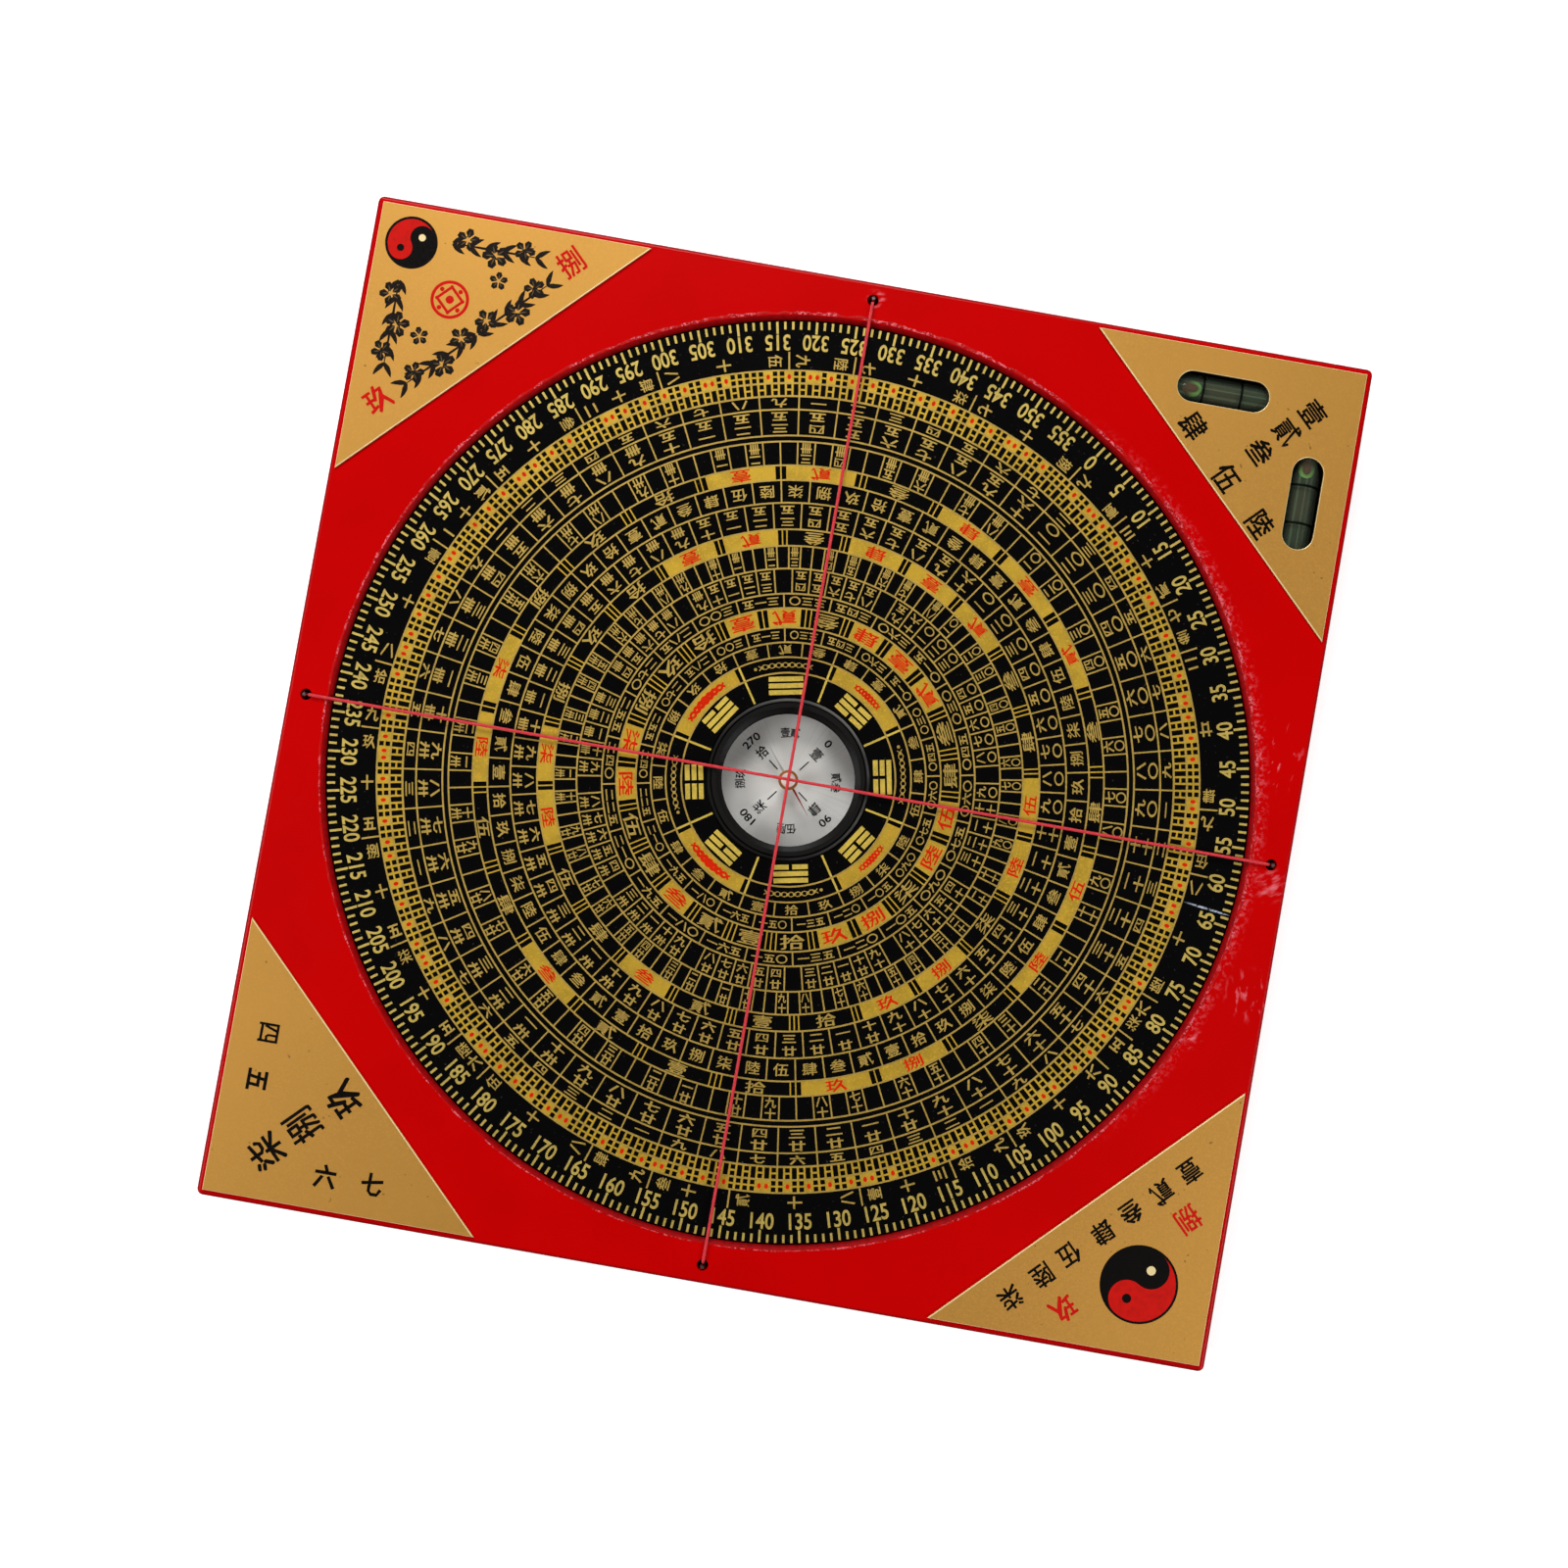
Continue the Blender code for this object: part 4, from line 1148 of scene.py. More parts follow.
class COMPASS_OT_print_trigrams(Operator):
    """Print the eight trigrams and the ring of eight gold and black fields round them"""

    bl_idname = "compass.print_trigrams"
    bl_label = "Print Trigrams"
    knots = 9
    ornament_sweeps = (16, 27, 16, 27, 25, 27, 25, 27)
    widest_sweep = 25
    braid_half = 0.5
    chain_half = 0.09
    star_size = 0.7

    def execute(self, context):
        line = context.scene.dial_look.line
        gold = Sheet(FACE_TOP)
        length_mm, width_mm, gap_mm = TRIGRAM_BAR
        half_bar = (length_mm - gap_mm) / 2
        for i, lines in enumerate(TRIGRAMS):
            bearing = 45 * i
            for radius, solid in zip(TRIGRAM_RADII, lines):
                place = on_dial(bearing, radius * MM)
                if solid == "1":
                    gold.stamp(bar_block(), place, width_mm * MM, length_mm * MM)
                    continue
                for side in (1, -1):
                    shift = Matrix.Translation((0, side * (half_bar + gap_mm) / 2 * MM, 0))
                    gold.stamp(bar_block(), place @ shift, width_mm * MM, half_bar * MM)
            inner = CUP_RADIUS + 0.3 * MM
            outer = RING_LINES[1] * MM
            middle = on_dial(bearing + 22.5, (inner + outer) / 2)
            gold.stamp(bar_block(), middle, outer - inner, 1.25 * line, CELL_LAYER)
        fields = Sheet(FACE_TOP)
        field = arc_block(RING_LINES[0] * MM, RING_LINES[1] * MM, math.radians(NAMED_ARC), 10)
        for bearing in (0, 90, 180, 270):
            fields.stamp(field, on_dial(bearing, 0), layer=FIELD_LAYER)
        gold.finish("trigrams", made("bright_ink"))
        fields.finish("gold_fields", made("gold_ink"))
        self.draw_ornaments()
        return {"FINISHED"}

    def draw_ornaments(self):
        """Print a red braid on each gold field, and a chain of gold stars on each black one."""
        braids = Strokes()
        chains = Strokes()
        stars = Sheet(FACE_TOP)
        middle = (RING_LINES[0] + RING_LINES[1]) / 2
        for i, sweep in enumerate(self.ornament_sweeps):
            for side in (1, -1):
                knots = []
                for k in range(self.knots):
                    share = k / (self.knots - 1) - 0.5
                    swing = side * (0.5 if k % 2 else -0.5)
                    spot = on_dial(45 * i + share * sweep, (middle + swing) * MM).to_translation() / MM
                    width = (self.braid_half - 0.6 * abs(share)) * sweep / self.widest_sweep
                    knots.append((spot.x, spot.y, self.chain_half if i % 2 else width))
                (chains if i % 2 else braids).draw(knots, fineness=4)
            if i % 2:
                for k in range(self.knots):
                    share = (k - 0.5) / (self.knots - 1) - 0.5
                    place = on_dial(45 * i + share * sweep, middle * MM)
                    stars.stamp(dot_block(8), place, self.star_size * MM, self.star_size * MM, SIGN_LAYER)
        red = made("dial_red")
        gold = made("sign_ink")
        braids.print("field_braids", FACE_TOP + INK_LAYER, self.braid_half, red, "dial", "dial_face")
        chains.print("star_chains", FACE_TOP, self.chain_half, gold, "dial", "dial_face")
        stars.finish("star_dots", gold)


class SignRing(NamedTuple):
    """A ring of cells with number signs, in mm and degrees."""

    inner: float
    outer: float
    step: float
    first: float
    style: str
    width: float
    height: float
    kept: tuple = ()
    period: float = 15


class BoxRing(NamedTuple):
    """A ring of boxes, some of them gold with red signs, in mm and degrees."""

    inner: float
    outer: float
    shift: float
    sweep: float
    width: float
    height: float


SIGN_RINGS = (
    SignRing(25.5, 28.6, 15, 0, "formal", 2.9, 2.0),
    SignRing(28.6, 31.7, 15, 7.5, "degrees", 1.9, 1.7),
    SignRing(35.75, 38.75, 15, 7.5, "degrees", 2.5, 1.8),
    SignRing(38.75, 44.0, 5, 0, "count", 2.4, 1.8, (0, 5, 10, 20, 25), 30),
    SignRing(44.0, 48.75, 3, 0, "count", 1.7, 1.9, (3, 12), 15),
    SignRing(52.2, 57.75, 6, 4.2, "count", 3.1, 1.9),
    SignRing(57.75, 62.5, 5.625, 2.8125, "formal", 3.3, 2.6),
    SignRing(65.6, 70.6, 3, 1.5, "count", 2.4, 2.1, (4.5, 10.5), 15),
    SignRing(71.85, 77.3, 6, 3, "count", 3.6, 2.0),
    SignRing(77.3, 80.1, 6, 3, "simple", 3.3, 1.8),
)
BOX_RINGS = (
    BoxRing(31.7, 35.75, 0, 11.5, 5.4, 3.0),
    BoxRing(48.75, 52.2, -7.5, 12.9, 4.4, 2.6),
    BoxRing(62.5, 65.6, 7.5, 13.0, 4.5, 2.5),
)


def number_rows(style, count):
    """Return the rows of signs, outer first, that write a count in a ring's style."""
    if style == "formal":
        return [FORMAL_NUMERALS[count % 10]]
    if style == "simple":
        return [SIMPLE_NUMERALS[1 + count % 9]]
    if style == "degrees":
        return ["".join(SIMPLE_NUMERALS[int(digit)] for digit in f"{15 * count:03d}")]
    return [TENS_NUMERALS[count // 10], SIMPLE_NUMERALS[count % 10] if count % 10 else TEN]


def print_row(sheet, row, bearing, radius, width, height):
    """Print signs side by side, their tops toward the dial's middle."""
    pitch = degrees_apart(width * 1.04, radius)
    for i, sign in enumerate(row):
        place = on_dial(bearing - (i - (len(row) - 1) / 2) * pitch, radius * MM, TOPS_INWARD)
        sheet.write(sign, place, width * MM, height * MM)


def cell_line(sheet, bearing, inner, outer, width):
    """Print a radial line between two rings."""
    middle = on_dial(bearing, (inner + outer) / 2 * MM)
    sheet.stamp(bar_block(), middle, (outer - inner) * MM, width, CELL_LAYER)


class COMPASS_OT_print_cells(Operator):
    """Print the rings of cells with their number signs"""

    bl_idname = "compass.print_cells"
    bl_label = "Print Cells"

    def execute(self, context):
        width = context.scene.dial_look.line * 0.9
        ink = made("sign_ink")
        lines = Sheet(FACE_TOP)
        for number, ring in enumerate(SIGN_RINGS):
            signs = Sheet(FACE_TOP)
            count = 0
            for k in range(round(360 / ring.step)):
                bearing = ring.first + k * ring.step
                cell_line(lines, bearing - ring.step / 2, ring.inner, ring.outer, width)
                if ring.kept and not any(abs(bearing % ring.period - keep) < 0.01 for keep in ring.kept):
                    continue
                count += 1
                rows = number_rows(ring.style, count)
                depth = (ring.outer - ring.inner) / len(rows)
                for r, row in enumerate(rows):
                    radius = ring.outer - depth * (r + 0.5) + (0.12 if r else -0.12) * (len(rows) - 1)
                    print_row(signs, row, bearing, radius, ring.width, ring.height)
            signs.finish(f"cell_signs_{number + 1}", ink)
        lines.finish("cell_lines", ink)
        return {"FINISHED"}


class COMPASS_OT_print_boxes(Operator):
    """Print the three rings of gold and black boxes"""

    bl_idname = "compass.print_boxes"
    bl_label = "Print Boxes"

    def execute(self, context):
        width = context.scene.dial_look.line * 0.8
        boxes = Sheet(FACE_TOP)
        gold_signs = Sheet(FACE_TOP)
        red_signs = Sheet(FACE_TOP)
        for ring in BOX_RINGS:
            box = arc_block(ring.inner * MM, ring.outer * MM, math.radians(ring.sweep), 4)
            middle = (ring.inner + ring.outer) / 2
            for k in range(24):
                bearing = 15 * k + ring.shift
                cell_line(boxes, bearing + 7.5, ring.inner, ring.outer, width)
                if 15 * k in GOLD_BEARINGS:
                    boxes.stamp(box, on_dial(bearing, 0), layer=FIELD_LAYER)
                    signs = red_signs
                else:
                    signs = gold_signs
                    for side in (1, -1):
                        cell_line(boxes, bearing + side * ring.sweep / 2, ring.inner, ring.outer, width)
                sign = FORMAL_NUMERALS[(k + 1) % 10]
                print_row(signs, sign, bearing, middle, ring.width, ring.height)
        gold = made("gold_ink")
        boxes.finish("boxes", gold)
        gold_signs.finish("box_signs_gold", made("sign_ink"))
        red_signs.finish("box_signs_red", made("dial_red"))
        return {"FINISHED"}


def is_red(degree):
    """Say whether a one degree cell holds a red dot: every third one, some in pairs and some left out."""
    if degree % 24 == 22:
        return False
    return degree % 3 == 1 or degree % 15 == 5


class COMPASS_OT_print_dots(Operator):
    """Print the two rings of one degree cells, gold with black marks and red dots"""

    bl_idname = "compass.print_dots"
    bl_label = "Print Dots"
    bars = (80.1, 82.85)
    dots = (82.85, 85.5)
    bar_size = (2.3, 1.02)
    dot_size = (1.1, 0.8)
    mark_size = (0.92, 0.94)
    mark_shift = 0.66

    def execute(self, context):
        base = Sheet(FACE_TOP)
        band = arc_block(self.bars[0] * MM, self.dots[1] * MM, math.tau, RING_STEPS)
        base.stamp(band, Matrix.Identity(4), layer=FIELD_LAYER)
        black = Sheet(FACE_TOP)
        red = Sheet(FACE_TOP)
        for degree in range(360):
            bearing = degree + 0.5
            middle = sum(self.bars) / 2
            if degree % 2:
                self.mark(black, bar_block(), bearing, middle, self.bar_size)
            else:
                self.pair(black, bearing, middle)
            middle = sum(self.dots) / 2
            if is_red(degree):
                self.mark(red, dot_block(12), bearing, middle, self.dot_size)
            else:
                self.pair(black, bearing, middle)
        base.finish("dotted_band", made("gold_ink"))
        black.finish("dotted_black", made("dial_black_ink"))
        red.finish("dotted_red", made("dial_red"))
        return {"FINISHED"}

    def mark(self, sheet, block, bearing, radius, size):
        """Print a bar or a dot."""
        sheet.stamp(block, on_dial(bearing, radius * MM), size[0] * MM, size[1] * MM, SIGN_LAYER)

    def pair(self, sheet, bearing, middle):
        """Print two black marks, above and below what is left as a gold sign."""
        for side in (1, -1):
            self.mark(sheet, bar_block(), bearing, middle + side * self.mark_shift, self.mark_size)


SECTOR_WIDTHS = (
    9, 13, 7, 22, 9, 18, 6, 5, 16, 9, 13, 18, 11, 9, 18, 6, 15, 15, 15, 9, 18, 11, 15, 12, 18, 9, 17, 17,
)


class COMPASS_OT_print_sectors(Operator):
    """Print the ring of unequal sectors, each with its number and its width in degrees"""

    bl_idname = "compass.print_sectors"
    bl_label = "Print Sectors"
    first = -0.5
    radius = 87.45
    line_reach = (85.6, 89.4)
    sign_inset = 1.9
    sign_size = (2.7, 2.9)

    def execute(self, context):
        width = context.scene.dial_look.line
        sheet = Sheet(FACE_TOP)
        start = self.first
        for number, sweep in enumerate(SECTOR_WIDTHS):
            cell_line(sheet, start, *self.line_reach, width)
            self.sign(sheet, SIMPLE_NUMERALS[sweep % 10], start + self.sign_inset)
            if sweep > 9:
                self.sign(sheet, TENS_NUMERALS[sweep // 10], start + sweep / 2)
            if sweep > 5:
                last = start + sweep - self.sign_inset
                self.sign(sheet, FORMAL_NUMERALS[(number + 1) % 10], last)
            start += sweep
        sheet.finish("sectors", made("sign_ink"))
        return {"FINISHED"}

    def sign(self, sheet, sign, bearing):
        """Print one sign, its top pointing clockwise."""
        place = on_dial(bearing, self.radius * MM, TOPS_CLOCKWISE)
        sheet.write(sign, place, self.sign_size[0] * MM, self.sign_size[1] * MM)


class COMPASS_OT_print_degrees(Operator):
    """Print the degree scale round the dial's edge"""

    bl_idname = "compass.print_degrees"
    bl_label = "Print Degrees"
    short_tick = (94.1, 95.75)
    long_tick = (93.2, 95.75)
    tick_width = 0.5
    radius = 91.35
    digit = (1.86, 3.2)

    def execute(self, context):
        sheet = Sheet(FACE_TOP)
        for degree in range(360):
            inner, outer = self.short_tick if degree % 5 else self.long_tick
            cell_line(sheet, degree, inner, outer, self.tick_width * MM)
        sheet.finish("degree_ticks", made("tick_ink"))
        numbers = Sheet(FACE_TOP)
        for degree in range(0, 360, 5):
            text = str(degree)
            place = on_dial(degree, self.radius * MM, TOPS_INWARD)
            numbers.write(text, place, len(text) * self.digit[0] * MM, self.digit[1] * MM)
        numbers.finish("degree_numbers", made("tick_ink"))
        return {"FINISHED"}


# Needle capsule


def capsule_black(look):
    """Return the cup's and bezel's moulded black, with a painted highlight in patchy grey along the flange's
    edge, strongest on one side.
    """
    plastic = Finish("capsule_plastic", look.black, 0.30)
    plastic.set("Specular IOR Level", 0.10)
    # Painted highlight: a grey band along the flange's edge, patchy and brightest toward one side.
    lip = plastic.band(plastic.reach(), BEZEL_RADIUS + 0.05 * MM, BEZEL_RADIUS + 0.65 * MM)
    bright = plastic.band(plastic.part(plastic.local(turn=math.radians(40)), 0), -12 * MM, 12 * MM)
    uneven = plastic.band(plastic.grain(90, 3), 0.20, 0.65)
    plastic.set("Base Color", plastic.mix(plastic.both(lip, uneven, bright), look.black, look.lip))
    plastic.set("Roughness", plastic.spread(plastic.grain(1200, 2), 0.32, 0.46))
    plastic.bump(plastic.grain(1600, 2), 0.000006)
    return plastic.material


def clear_lens():
    """Return the lens's clear plastic."""
    lens = Finish("clear_lens", (0.02, 0.02, 0.02), 0.04)
    lens.set("Roughness", lens.spread(lens.grain(300, 2), 0.02, 0.07))
    lens.set("Alpha", 0.04)
    return lens.material


def brushed_card(look):
    """Return the card's silver, brushed in fine rays from its middle."""
    metal = Finish("brushed_card", look.card, 0.38, 0.1)
    ray = metal.node("VectorMath", {0: metal.local(size=(1, 1, FAR))}, operation="NORMALIZE").outputs[0]
    rays = metal.grain(26, 3, ray)
    broad = metal.grain(1.1, 1, ray)
    base = metal.mix(metal.band(broad, 0.35, 0.65), toned(look.card, 0.88), toned(look.card, 1.08))
    faint = metal.both(metal.band(rays, 0.4, 0.7), 0.5)
    metal.set("Base Color", metal.mix(faint, base, toned(look.card, 0.86)))
    metal.set("Roughness", metal.spread(rays, 0.30, 0.48))
    metal.bump(rays, 0.000004)
    return metal.material


def turned_metal(name, base, roughness, metallic=1.0):
    """Return metal with the fine rings of its turning."""
    metal = Finish(name, base, roughness, metallic)
    inputs = {"Vector": metal.place, "Scale": 2200, "Distortion": 0.4}
    rings = metal.node("TexWave", inputs, wave_type="RINGS")
    rings.rings_direction = "Z"
    metal.set("Roughness", metal.spread(rings.outputs["Fac"], roughness, roughness + 0.03))
    return metal.material


class COMPASS_OT_finish_capsule(Operator):
    """Finish the cup, bezel, lens, card and pin of the needle capsule"""

    bl_idname = "compass.finish_capsule"
    bl_label = "Finish Capsule"

    def execute(self, context):
        look = context.scene.capsule_look
        finish_nodes(capsule_black(look), "capsule_cup", "capsule_bezel")
        finish_nodes(clear_lens(), "capsule_lens")
        finish_nodes(brushed_card(look), "capsule_card")
        finish_nodes(turned_metal("pin_steel", on_screen(190, 186, 178), 0.25), "pivot_pin")
        return {"FINISHED"}


class COMPASS_OT_print_card(Operator):
    """Print the small dial on the capsule's card"""

    bl_idname = "compass.print_card"
    bl_label = "Print Card"
    line_reach = (3.3, 5.9)
    line_width = 0.26
    number_radius = 11.5
    number_digit = (1.4, 1.6)
    sign_radius = 8.2
    sign_size = 2.5
    side_radius = 10.2
    side_size = 2.1

    def execute(self, context):
        look = context.scene.capsule_look
        sheet = Sheet(CARD_TOP)
        for i in range(8):
            bearing = 45 * i
            if i % 2:
                signs = FORMAL_NUMERALS[(3 * i + 1) // 2 % 10] + FORMAL_NUMERALS[(3 * i + 3) // 2 % 10]
                self.signs(sheet, signs, bearing, self.side_radius, self.side_size, self.side_size, look.zero)
                continue
            inner, outer = self.line_reach
            middle = on_dial(bearing, (inner + outer) / 2 * MM, zero=look.zero)
            sheet.stamp(bar_block(), middle, (outer - inner) * MM, self.line_width * MM)
            sign = FORMAL_NUMERALS[(3 * i // 2 + 1) % 10]
            self.signs(sheet, sign, bearing, self.sign_radius, self.sign_size, self.sign_size, look.zero)
            self.signs(sheet, str(bearing), bearing, self.number_radius, *self.number_digit, look.zero)
        sheet.finish("card_print", plain_ink("card_ink", look.print), "dial", "card_silver")
        return {"FINISHED"}

    def signs(self, sheet, text, bearing, radius, width, height, zero):
        """Print signs side by side, their tops pointing outward."""
        pitch = degrees_apart(width, radius)
        for k, sign in enumerate(text):
            place = on_dial(bearing + (k - (len(text) - 1) / 2) * pitch, radius * MM, TOPS_OUTWARD, zero)
            sheet.write(sign, place, width * MM, height * MM)


class COMPASS_OT_finish_needle(Operator):
    """Paint the needle and lay a pale disc on its cap, coloured as a painted highlight"""

    bl_idname = "compass.finish_needle"
    bl_label = "Finish Needle"
    heading = math.radians(90 - 141.3)
    jewel_share = 0.74
    jewel_rise = 0.00030

    def execute(self, context):
        look = context.scene.capsule_look
        paint = Finish("needle_paint", look.needle, 0.34, 0.25)
        along = paint.part(paint.local(turn=self.heading), 0)
        tail = paint.band(along, -1.6 * MM, -2.2 * MM)
        paint.set("Base Color", paint.mix(tail, look.needle, look.tail))
        paint.set("Roughness", paint.spread(paint.grain(1500), 0.28, 0.42))
        finish_nodes(paint.material, "needle_blade")
        finish_nodes(turned_metal("cap_brass", look.brass, 0.22, 0.4), "needle_cap")

        # Painted highlight: a flat pale dome on the cap stands for the cap's bright reflection.
        highlight_paint = Finish("cap_jewel", look.jewel, 0.12)
        cloud = highlight_paint.band(highlight_paint.grain(900), 0.4, 0.7)
        highlight_paint.set("Base Color", highlight_paint.mix(cloud, look.jewel, toned(look.jewel, 0.9)))
        highlight_paint.set("Coat Weight", 0.6)
        radius = CAP_RADIUS * self.jewel_share
        shape = bmesh.new()
        bmesh.ops.create_uvsphere(shape, u_segments=32, v_segments=16, radius=1)
        bmesh.ops.scale(shape, vec=(radius, radius, self.jewel_rise), verts=shape.verts)
        bmesh.ops.translate(shape, vec=(0, 0, CAP_TOP), verts=shape.verts)
        add_piece("cap_jewel", shape, [highlight_paint.material], "needle", "cap_brass", smooth=True)
        return {"FINISHED"}


# Level vials


def vial_glass():
    """Return the vials' glass, clear face on and darker toward its sides."""
    glass = Finish("vial_tube_glass", (0.10, 0.13, 0.09), 0.05)
    facing = glass.node("LayerWeight", {"Blend": 0.4}).outputs["Facing"]
    glass.set("Alpha", glass.spread(facing, 0.16, 0.75))
    glass.set("Roughness", glass.spread(glass.grain(500), 0.03, 0.08))
    return glass.material


def vial_fluid(look, key, middle, inward, radius):
    """Return a vial's green fluid, with painted highlights as lighter streaks along the tube, painted shade
    toward its sides and a brown tinge round its middle.
    """
    fluid = Finish("vial_green_" + key, look.fluid, 0.16)
    turn = math.atan2(inward.y, inward.x)
    local = fluid.local(middle, turn, (radius, radius, radius))
    along = fluid.part(local, 0)
    across = fluid.part(local, 1)
    brown = fluid.band(fluid.math("ABSOLUTE", along), 2.2, 0.6)
    base = fluid.mix(fluid.both(brown, 0.6), look.fluid, look.tinge)
    # Painted highlights: three lighter streaks along the tube stand for the lamps' reflections.
    for place, reach in ((-0.42, 0.16), (0.14, 0.10), (0.55, 0.14)):
        near = fluid.band(fluid.math("ABSOLUTE", fluid.math("SUBTRACT", across, place)), reach, 0.0)
        base = fluid.mix(fluid.both(near, 0.75), base, look.streak)
    # Painted shade: the fluid darkens toward the tube's sides.
    side = fluid.band(fluid.math("ABSOLUTE", across), 0.60, 0.95)
    base = fluid.mix(side, base, toned(look.fluid, 0.25))
    fluid.set("Base Color", base)
    fluid.set("Coat Weight", 0.5)
    return fluid.material


class COMPASS_OT_fill_vials(Operator):
    """Fill the vials with fluid and a bubble, and mark them"""

    bl_idname = "compass.fill_vials"
    bl_label = "Fill Vials"

    def execute(self, context):
        look = context.scene.vial_look
        finish_nodes(vial_glass(), "vial_tube_a", "vial_tube_b")
        plug = plain_ink("vial_plug_rubber", on_screen(34, 40, 32), 0.5)
        finish_nodes(plug, "vial_plug_a", "vial_plug_b")
        mark = plain_ink("vial_mark", look.mark)
        for key, inward in (("a", (1, 0, 0)), ("b", (0, -1, 0))):
            self.fill(look, key, Vector(inward), mark)
        return {"FINISHED"}

    def fill(self, look, key, inward, mark_finish):
        """Fill one vial, whose bubble slides in the direction inward."""
        low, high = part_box("vial_tube_" + key)
        middle = (low + high) / 2
        tube_radius = (high.z - low.z) / 2
        start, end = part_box("vial_fluid_" + key)
        radius = tube_radius - 0.8 * MM
        lie = inward.to_track_quat("X", "Z").to_matrix().to_4x4()
        place = Matrix.Translation(middle) @ lie
        depth = abs((end - start).dot(inward))
        centre = Matrix.Translation(((start + end) / 2 - middle).dot(inward) * Vector((1, 0, 0)))

        lengthwise = Matrix.Rotation(math.radians(90), 4, "Y")
        shape = rod(64, radius, depth, place @ centre @ lengthwise)
        fluid = vial_fluid(look, key, middle, inward, radius)
        body = add_piece("vial_filling_" + key, shape, [fluid], "base", "vial_fluid", smooth=True)
        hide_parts("vial_fluid_" + key)

        marks = bmesh.new()
        for side in (1, -1):
            band = arc_block(tube_radius - 0.05 * MM, tube_radius + 0.03 * MM, math.tau, 48).copy()
            band.transform(Matrix.Diagonal((1, 1, look.mark_width, 1)))
            band.transform(Matrix.Translation((0, 0, side * look.mark_reach - look.mark_width / 2)))
            band.transform(place @ lengthwise)
            marks.from_mesh(band)
        add_piece("vial_marks_" + key, marks, [mark_finish], "base", "vial_glass")

        low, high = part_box("vial_bubble_" + key)
        spot = ((low + high) / 2 - middle).dot(inward)
        half_length = abs((high - low).dot(inward)) / 2
        shape = bmesh.new()
        bmesh.ops.create_uvsphere(shape, u_segments=40, v_segments=20, radius=1)
        for vert in shape.verts:
            across = vert.co.y * math.radians(40)
            out = radius + vert.co.z * 0.10 * MM
            vert.co = Vector((spot + vert.co.x * half_length, out * math.sin(across), out * math.cos(across)))
        bmesh.ops.transform(shape, matrix=place, verts=shape.verts)
        finish = self.bubble_finish(look, key, (low + high) / 2, inward, half_length)
        bubble = add_piece("vial_air_" + key, shape, [finish], "bubble_" + key, "vial_bubble", smooth=True)
        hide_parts("vial_bubble_" + key)

    def bubble_finish(self, look, key, centre, inward, half_length):
        """Return a bubble's finish: dim in the middle, with a painted highlight in a bright arc at its inner
        end.
        """
        air = Finish("vial_air_" + key, look.bubble, 0.08)
        turn = math.atan2(inward.y, inward.x)
        local = air.local((centre.x, centre.y, 0), turn, (half_length, half_length * 0.7, FAR))
        # Painted highlight: a bright arc at the bubble's inner end.
        edge = air.both(air.band(air.norm(local), 0.55, 0.85), air.band(air.part(local, 0), -0.6, 0.5))
        air.set("Base Color", air.mix(edge, look.bubble, look.crescent))
        air.set("Coat Weight", 0.6)
        return air.material


# Threads


class COMPASS_OT_twist_threads(Operator):
    """Twist the two crossing threads from strands and finish their pegs"""

    bl_idname = "compass.twist_threads"
    bl_label = "Twist Threads"
    samples_per_turn = 8

    def execute(self, context):
        look = context.scene.thread_look
        thread = Finish("twisted_thread", look.red, 0.6)
        fibres = thread.grain(1400, 3)
        base = thread.mix(thread.band(fibres, 0.35, 0.7), toned(look.red, 0.85), look.red)
        thread.set("Base Color", base)
        thread.set("Sheen Weight", 0.25)
        thread.set("Sheen Tint", (*on_screen(255, 190, 190), 1.0))
        thread.bump(fibres, 0.00003)
        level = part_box("thread_left_right")
        for name, axis in (("left_right", "x"), ("top_bottom", "y")):
            self.twist(look, thread.material, name, axis, level)
        pegs = [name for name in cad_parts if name.startswith("thread_peg_")]
        finish_nodes(turned_metal("peg_steel", on_screen(176, 178, 172), 0.28), *pegs)
        return {"FINISHED"}

    def route(self, name, axis, level, flat):
        """Return the thread's middle line as (along, up) points, from tail to tail."""
        low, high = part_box("thread_" + name)
        radius = (level[1].y - level[0].y) / 2
        lift = level[1].z - radius - BOARD_TOP
        edge = getattr(high, axis) - radius - lift
        turns = (0, 0.39, 0.79, 1.18, 1.57)
        bend = [(edge + lift * math.cos(t), BOARD_TOP + lift * math.sin(t)) for t in turns]
        half = [(edge + lift, low.z + 0.1 * MM)] + bend + [(flat, high.z - radius)]
        return radius, half + [(-along, up) for along, up in reversed(half)]

    def twist(self, look, finish, name, axis, level):
        """Make one thread of strands that wind round its route."""
        radius, route = self.route(name, axis, level, look.flat)
        strand = radius * look.strand
        step = look.twist / self.samples_per_turn
        curve = tube_curve("strands", strand)
        turn = Matrix.Rotation(math.radians(90 if axis == "y" else 0), 4, "Z")
        for number in range(look.strands):
            points = []
            travelled = 0.0
            for (x0, z0), (x1, z1) in zip(route, route[1:]):
                run = Vector((x1 - x0, 0, z1 - z0))
                pieces = max(1, round(run.length / step))
                out = run.normalized().cross(Vector((0, 1, 0)))
                for k in range(pieces):
                    phase = math.tau * (travelled / look.twist + number / look.strands)
                    spot = Vector((x0, 0, z0)) + run * k / pieces
                    spot += (radius - strand) * (out * math.cos(phase) + Vector((0, 1, 0)) * math.sin(phase))
                    points.append(turn @ spot)
                    travelled += run.length / pieces
            add_line(curve, points)
        piece = add_mesh("twisted_" + name, curve_block(curve), [finish], "base", "thread_red", smooth=True)
        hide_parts("thread_" + name)


# Studio


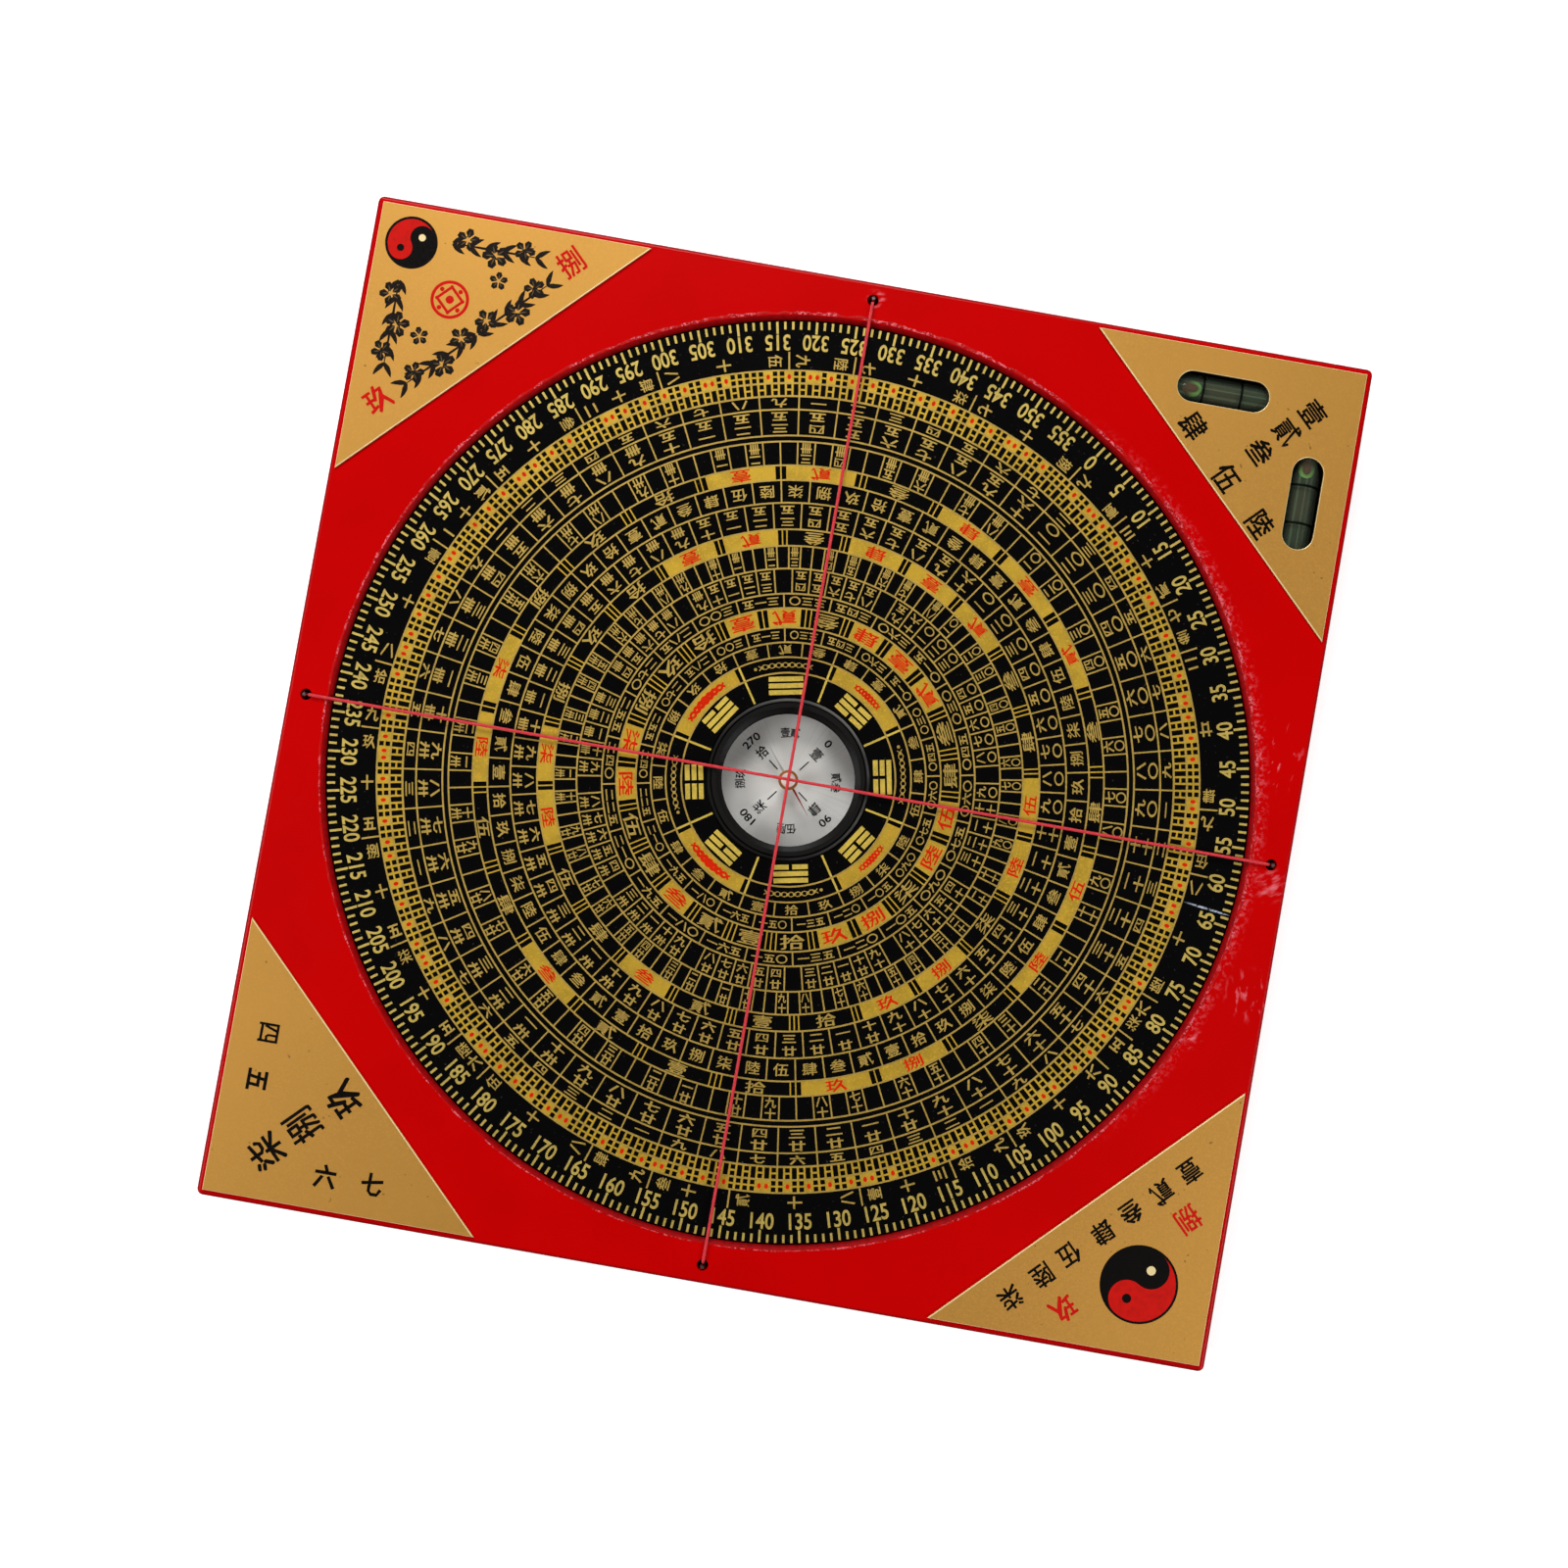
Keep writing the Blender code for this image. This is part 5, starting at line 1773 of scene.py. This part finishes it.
class COMPASS_OT_set_studio(Operator):
    """Add the floor, the lamps, the room's glow and the camera"""

    bl_idname = "compass.set_studio"
    bl_label = "Set Studio"
    floor_size = 6.0
    floor_white = (0.82, 0.82, 0.82)
    floor_glow = 0.62
    walls_below = 0.15
    overhead_above = 0.80
    lamp_size = 0.40
    lamps = {"key": (-0.16, 0.64, 0.62), "left": (-0.62, -0.14, 0.60), "right": (0.58, -0.28, 0.60)}

    def execute(self, context):
        look = context.scene.studio_look
        self.add_floor()
        self.light_room(context.scene, look)
        for name, place in self.lamps.items():
            self.add_lamp("lamp_" + name, place, getattr(look, name))
        camera = bpy.data.objects.new("camera", bpy.data.cameras.new("camera"))
        camera.data.lens = look.lens
        camera.data.clip_start = 0.01
        camera.location = look.place
        camera.rotation_euler = Euler(look.turn)
        context.scene.collection.objects.link(camera)
        context.scene.camera = camera
        context.scene.view_settings.view_transform = "Standard"
        return {"FINISHED"}

    def add_floor(self):
        """Add a white floor that keeps a soft shadow."""
        shape = bmesh.new()
        bmesh.ops.create_grid(shape, x_segments=1, y_segments=1, size=self.floor_size)
        mesh = bpy.data.meshes.new("floor")
        shape.to_mesh(mesh)
        shape.free()
        floor = bpy.data.objects.new("floor", mesh)
        bpy.context.scene.collection.objects.link(floor)
        white = Finish("floor_white", self.floor_white, 0.9)
        white.set("Specular IOR Level", 0.0)
        path = white.node("LightPath").outputs
        seen = white.any(path["Is Camera Ray"], path["Is Glossy Ray"], path["Is Transmission Ray"])
        white.set("Emission Color", (1, 1, 1))
        white.set("Emission Strength", white.both(seen, self.floor_glow))
        mesh.materials.append(white.material)

    def light_room(self, scene, look):
        """Light the room faintly, by its walls more than from overhead. It shows dark grey past the floor."""
        world = bpy.data.worlds.new("room")
        world.use_nodes = True
        scene.world = world
        room = Nodes(world.node_tree)
        rise = {
            "Value": room.part(room.node("TexCoord").outputs["Generated"], 2),
            "From Min": self.walls_below,
            "From Max": self.overhead_above,
            "To Min": look.side_glow,
            "To Max": look.top_glow,
        }
        glow = room.node("MapRange", rise, interpolation_type="SMOOTHSTEP").outputs["Result"]
        path = room.node("LightPath").outputs
        seen = room.any(path["Is Camera Ray"], path["Is Transmission Ray"])
        shown = room.node("Mix", {0: seen, 2: glow, 3: 1.0}).outputs[0]
        room.feed(room.tree.nodes["Background"].inputs["Strength"], shown)

    def add_lamp(self, name, place, power):
        """Add a square lamp that faces the board's middle."""
        lamp = bpy.data.lights.new(name, "AREA")
        lamp.size = self.lamp_size
        lamp.energy = power
        obj = bpy.data.objects.new(name, lamp)
        obj.location = place
        obj.rotation_euler = Vector(place).to_track_quat("Z", "Y").to_euler()
        bpy.context.scene.collection.objects.link(obj)


STEPS = (
    COMPASS_OT_finish_board,
    COMPASS_OT_add_rim,
    COMPASS_OT_round_plates,
    COMPASS_OT_print_plate_signs,
    COMPASS_OT_print_emblems,
    COMPASS_OT_print_sprigs,
    COMPASS_OT_finish_dial,
    COMPASS_OT_print_ring_lines,
    COMPASS_OT_print_trigrams,
    COMPASS_OT_print_cells,
    COMPASS_OT_print_boxes,
    COMPASS_OT_print_dots,
    COMPASS_OT_print_sectors,
    COMPASS_OT_print_degrees,
    COMPASS_OT_finish_capsule,
    COMPASS_OT_print_card,
    COMPASS_OT_finish_needle,
    COMPASS_OT_fill_vials,
    COMPASS_OT_twist_threads,
    COMPASS_OT_set_studio,
)
LOOKS = {
    "board_look": BoardLook,
    "plate_look": PlateLook,
    "dial_look": DialLook,
    "capsule_look": CapsuleLook,
    "vial_look": VialLook,
    "thread_look": ThreadLook,
    "studio_look": StudioLook,
}


class VIEW3D_PT_compass(Panel):
    """Steps that finish the compass, in order"""

    bl_label = "Feng Shui Compass"
    bl_space_type = "VIEW_3D"
    bl_region_type = "UI"
    bl_category = "Compass"

    def draw(self, context):
        for step in STEPS:
            self.layout.operator(step.bl_idname)
        for name, look in LOOKS.items():
            box = self.layout.box()
            box.label(text=look.__doc__)
            for prop in look.__annotations__:
                box.prop(getattr(context.scene, name), prop)


def register():
    """Register the looks, the operators and the panel."""
    for name, look in LOOKS.items():
        bpy.utils.register_class(look)
        setattr(bpy.types.Scene, name, PointerProperty(type=look))
    for step in STEPS:
        bpy.utils.register_class(step)
    bpy.utils.register_class(VIEW3D_PT_compass)


def unregister():
    """Remove what register added."""
    bpy.utils.unregister_class(VIEW3D_PT_compass)
    for step in reversed(STEPS):
        bpy.utils.unregister_class(step)
    for name, look in reversed(LOOKS.items()):
        delattr(bpy.types.Scene, name)
        bpy.utils.unregister_class(look)


def main():
    """Register the add-on and run every step."""
    register()
    for step in STEPS:
        group, action = step.bl_idname.split(".")
        getattr(getattr(bpy.ops, group), action)()


if __name__ == "__main__":
    main()
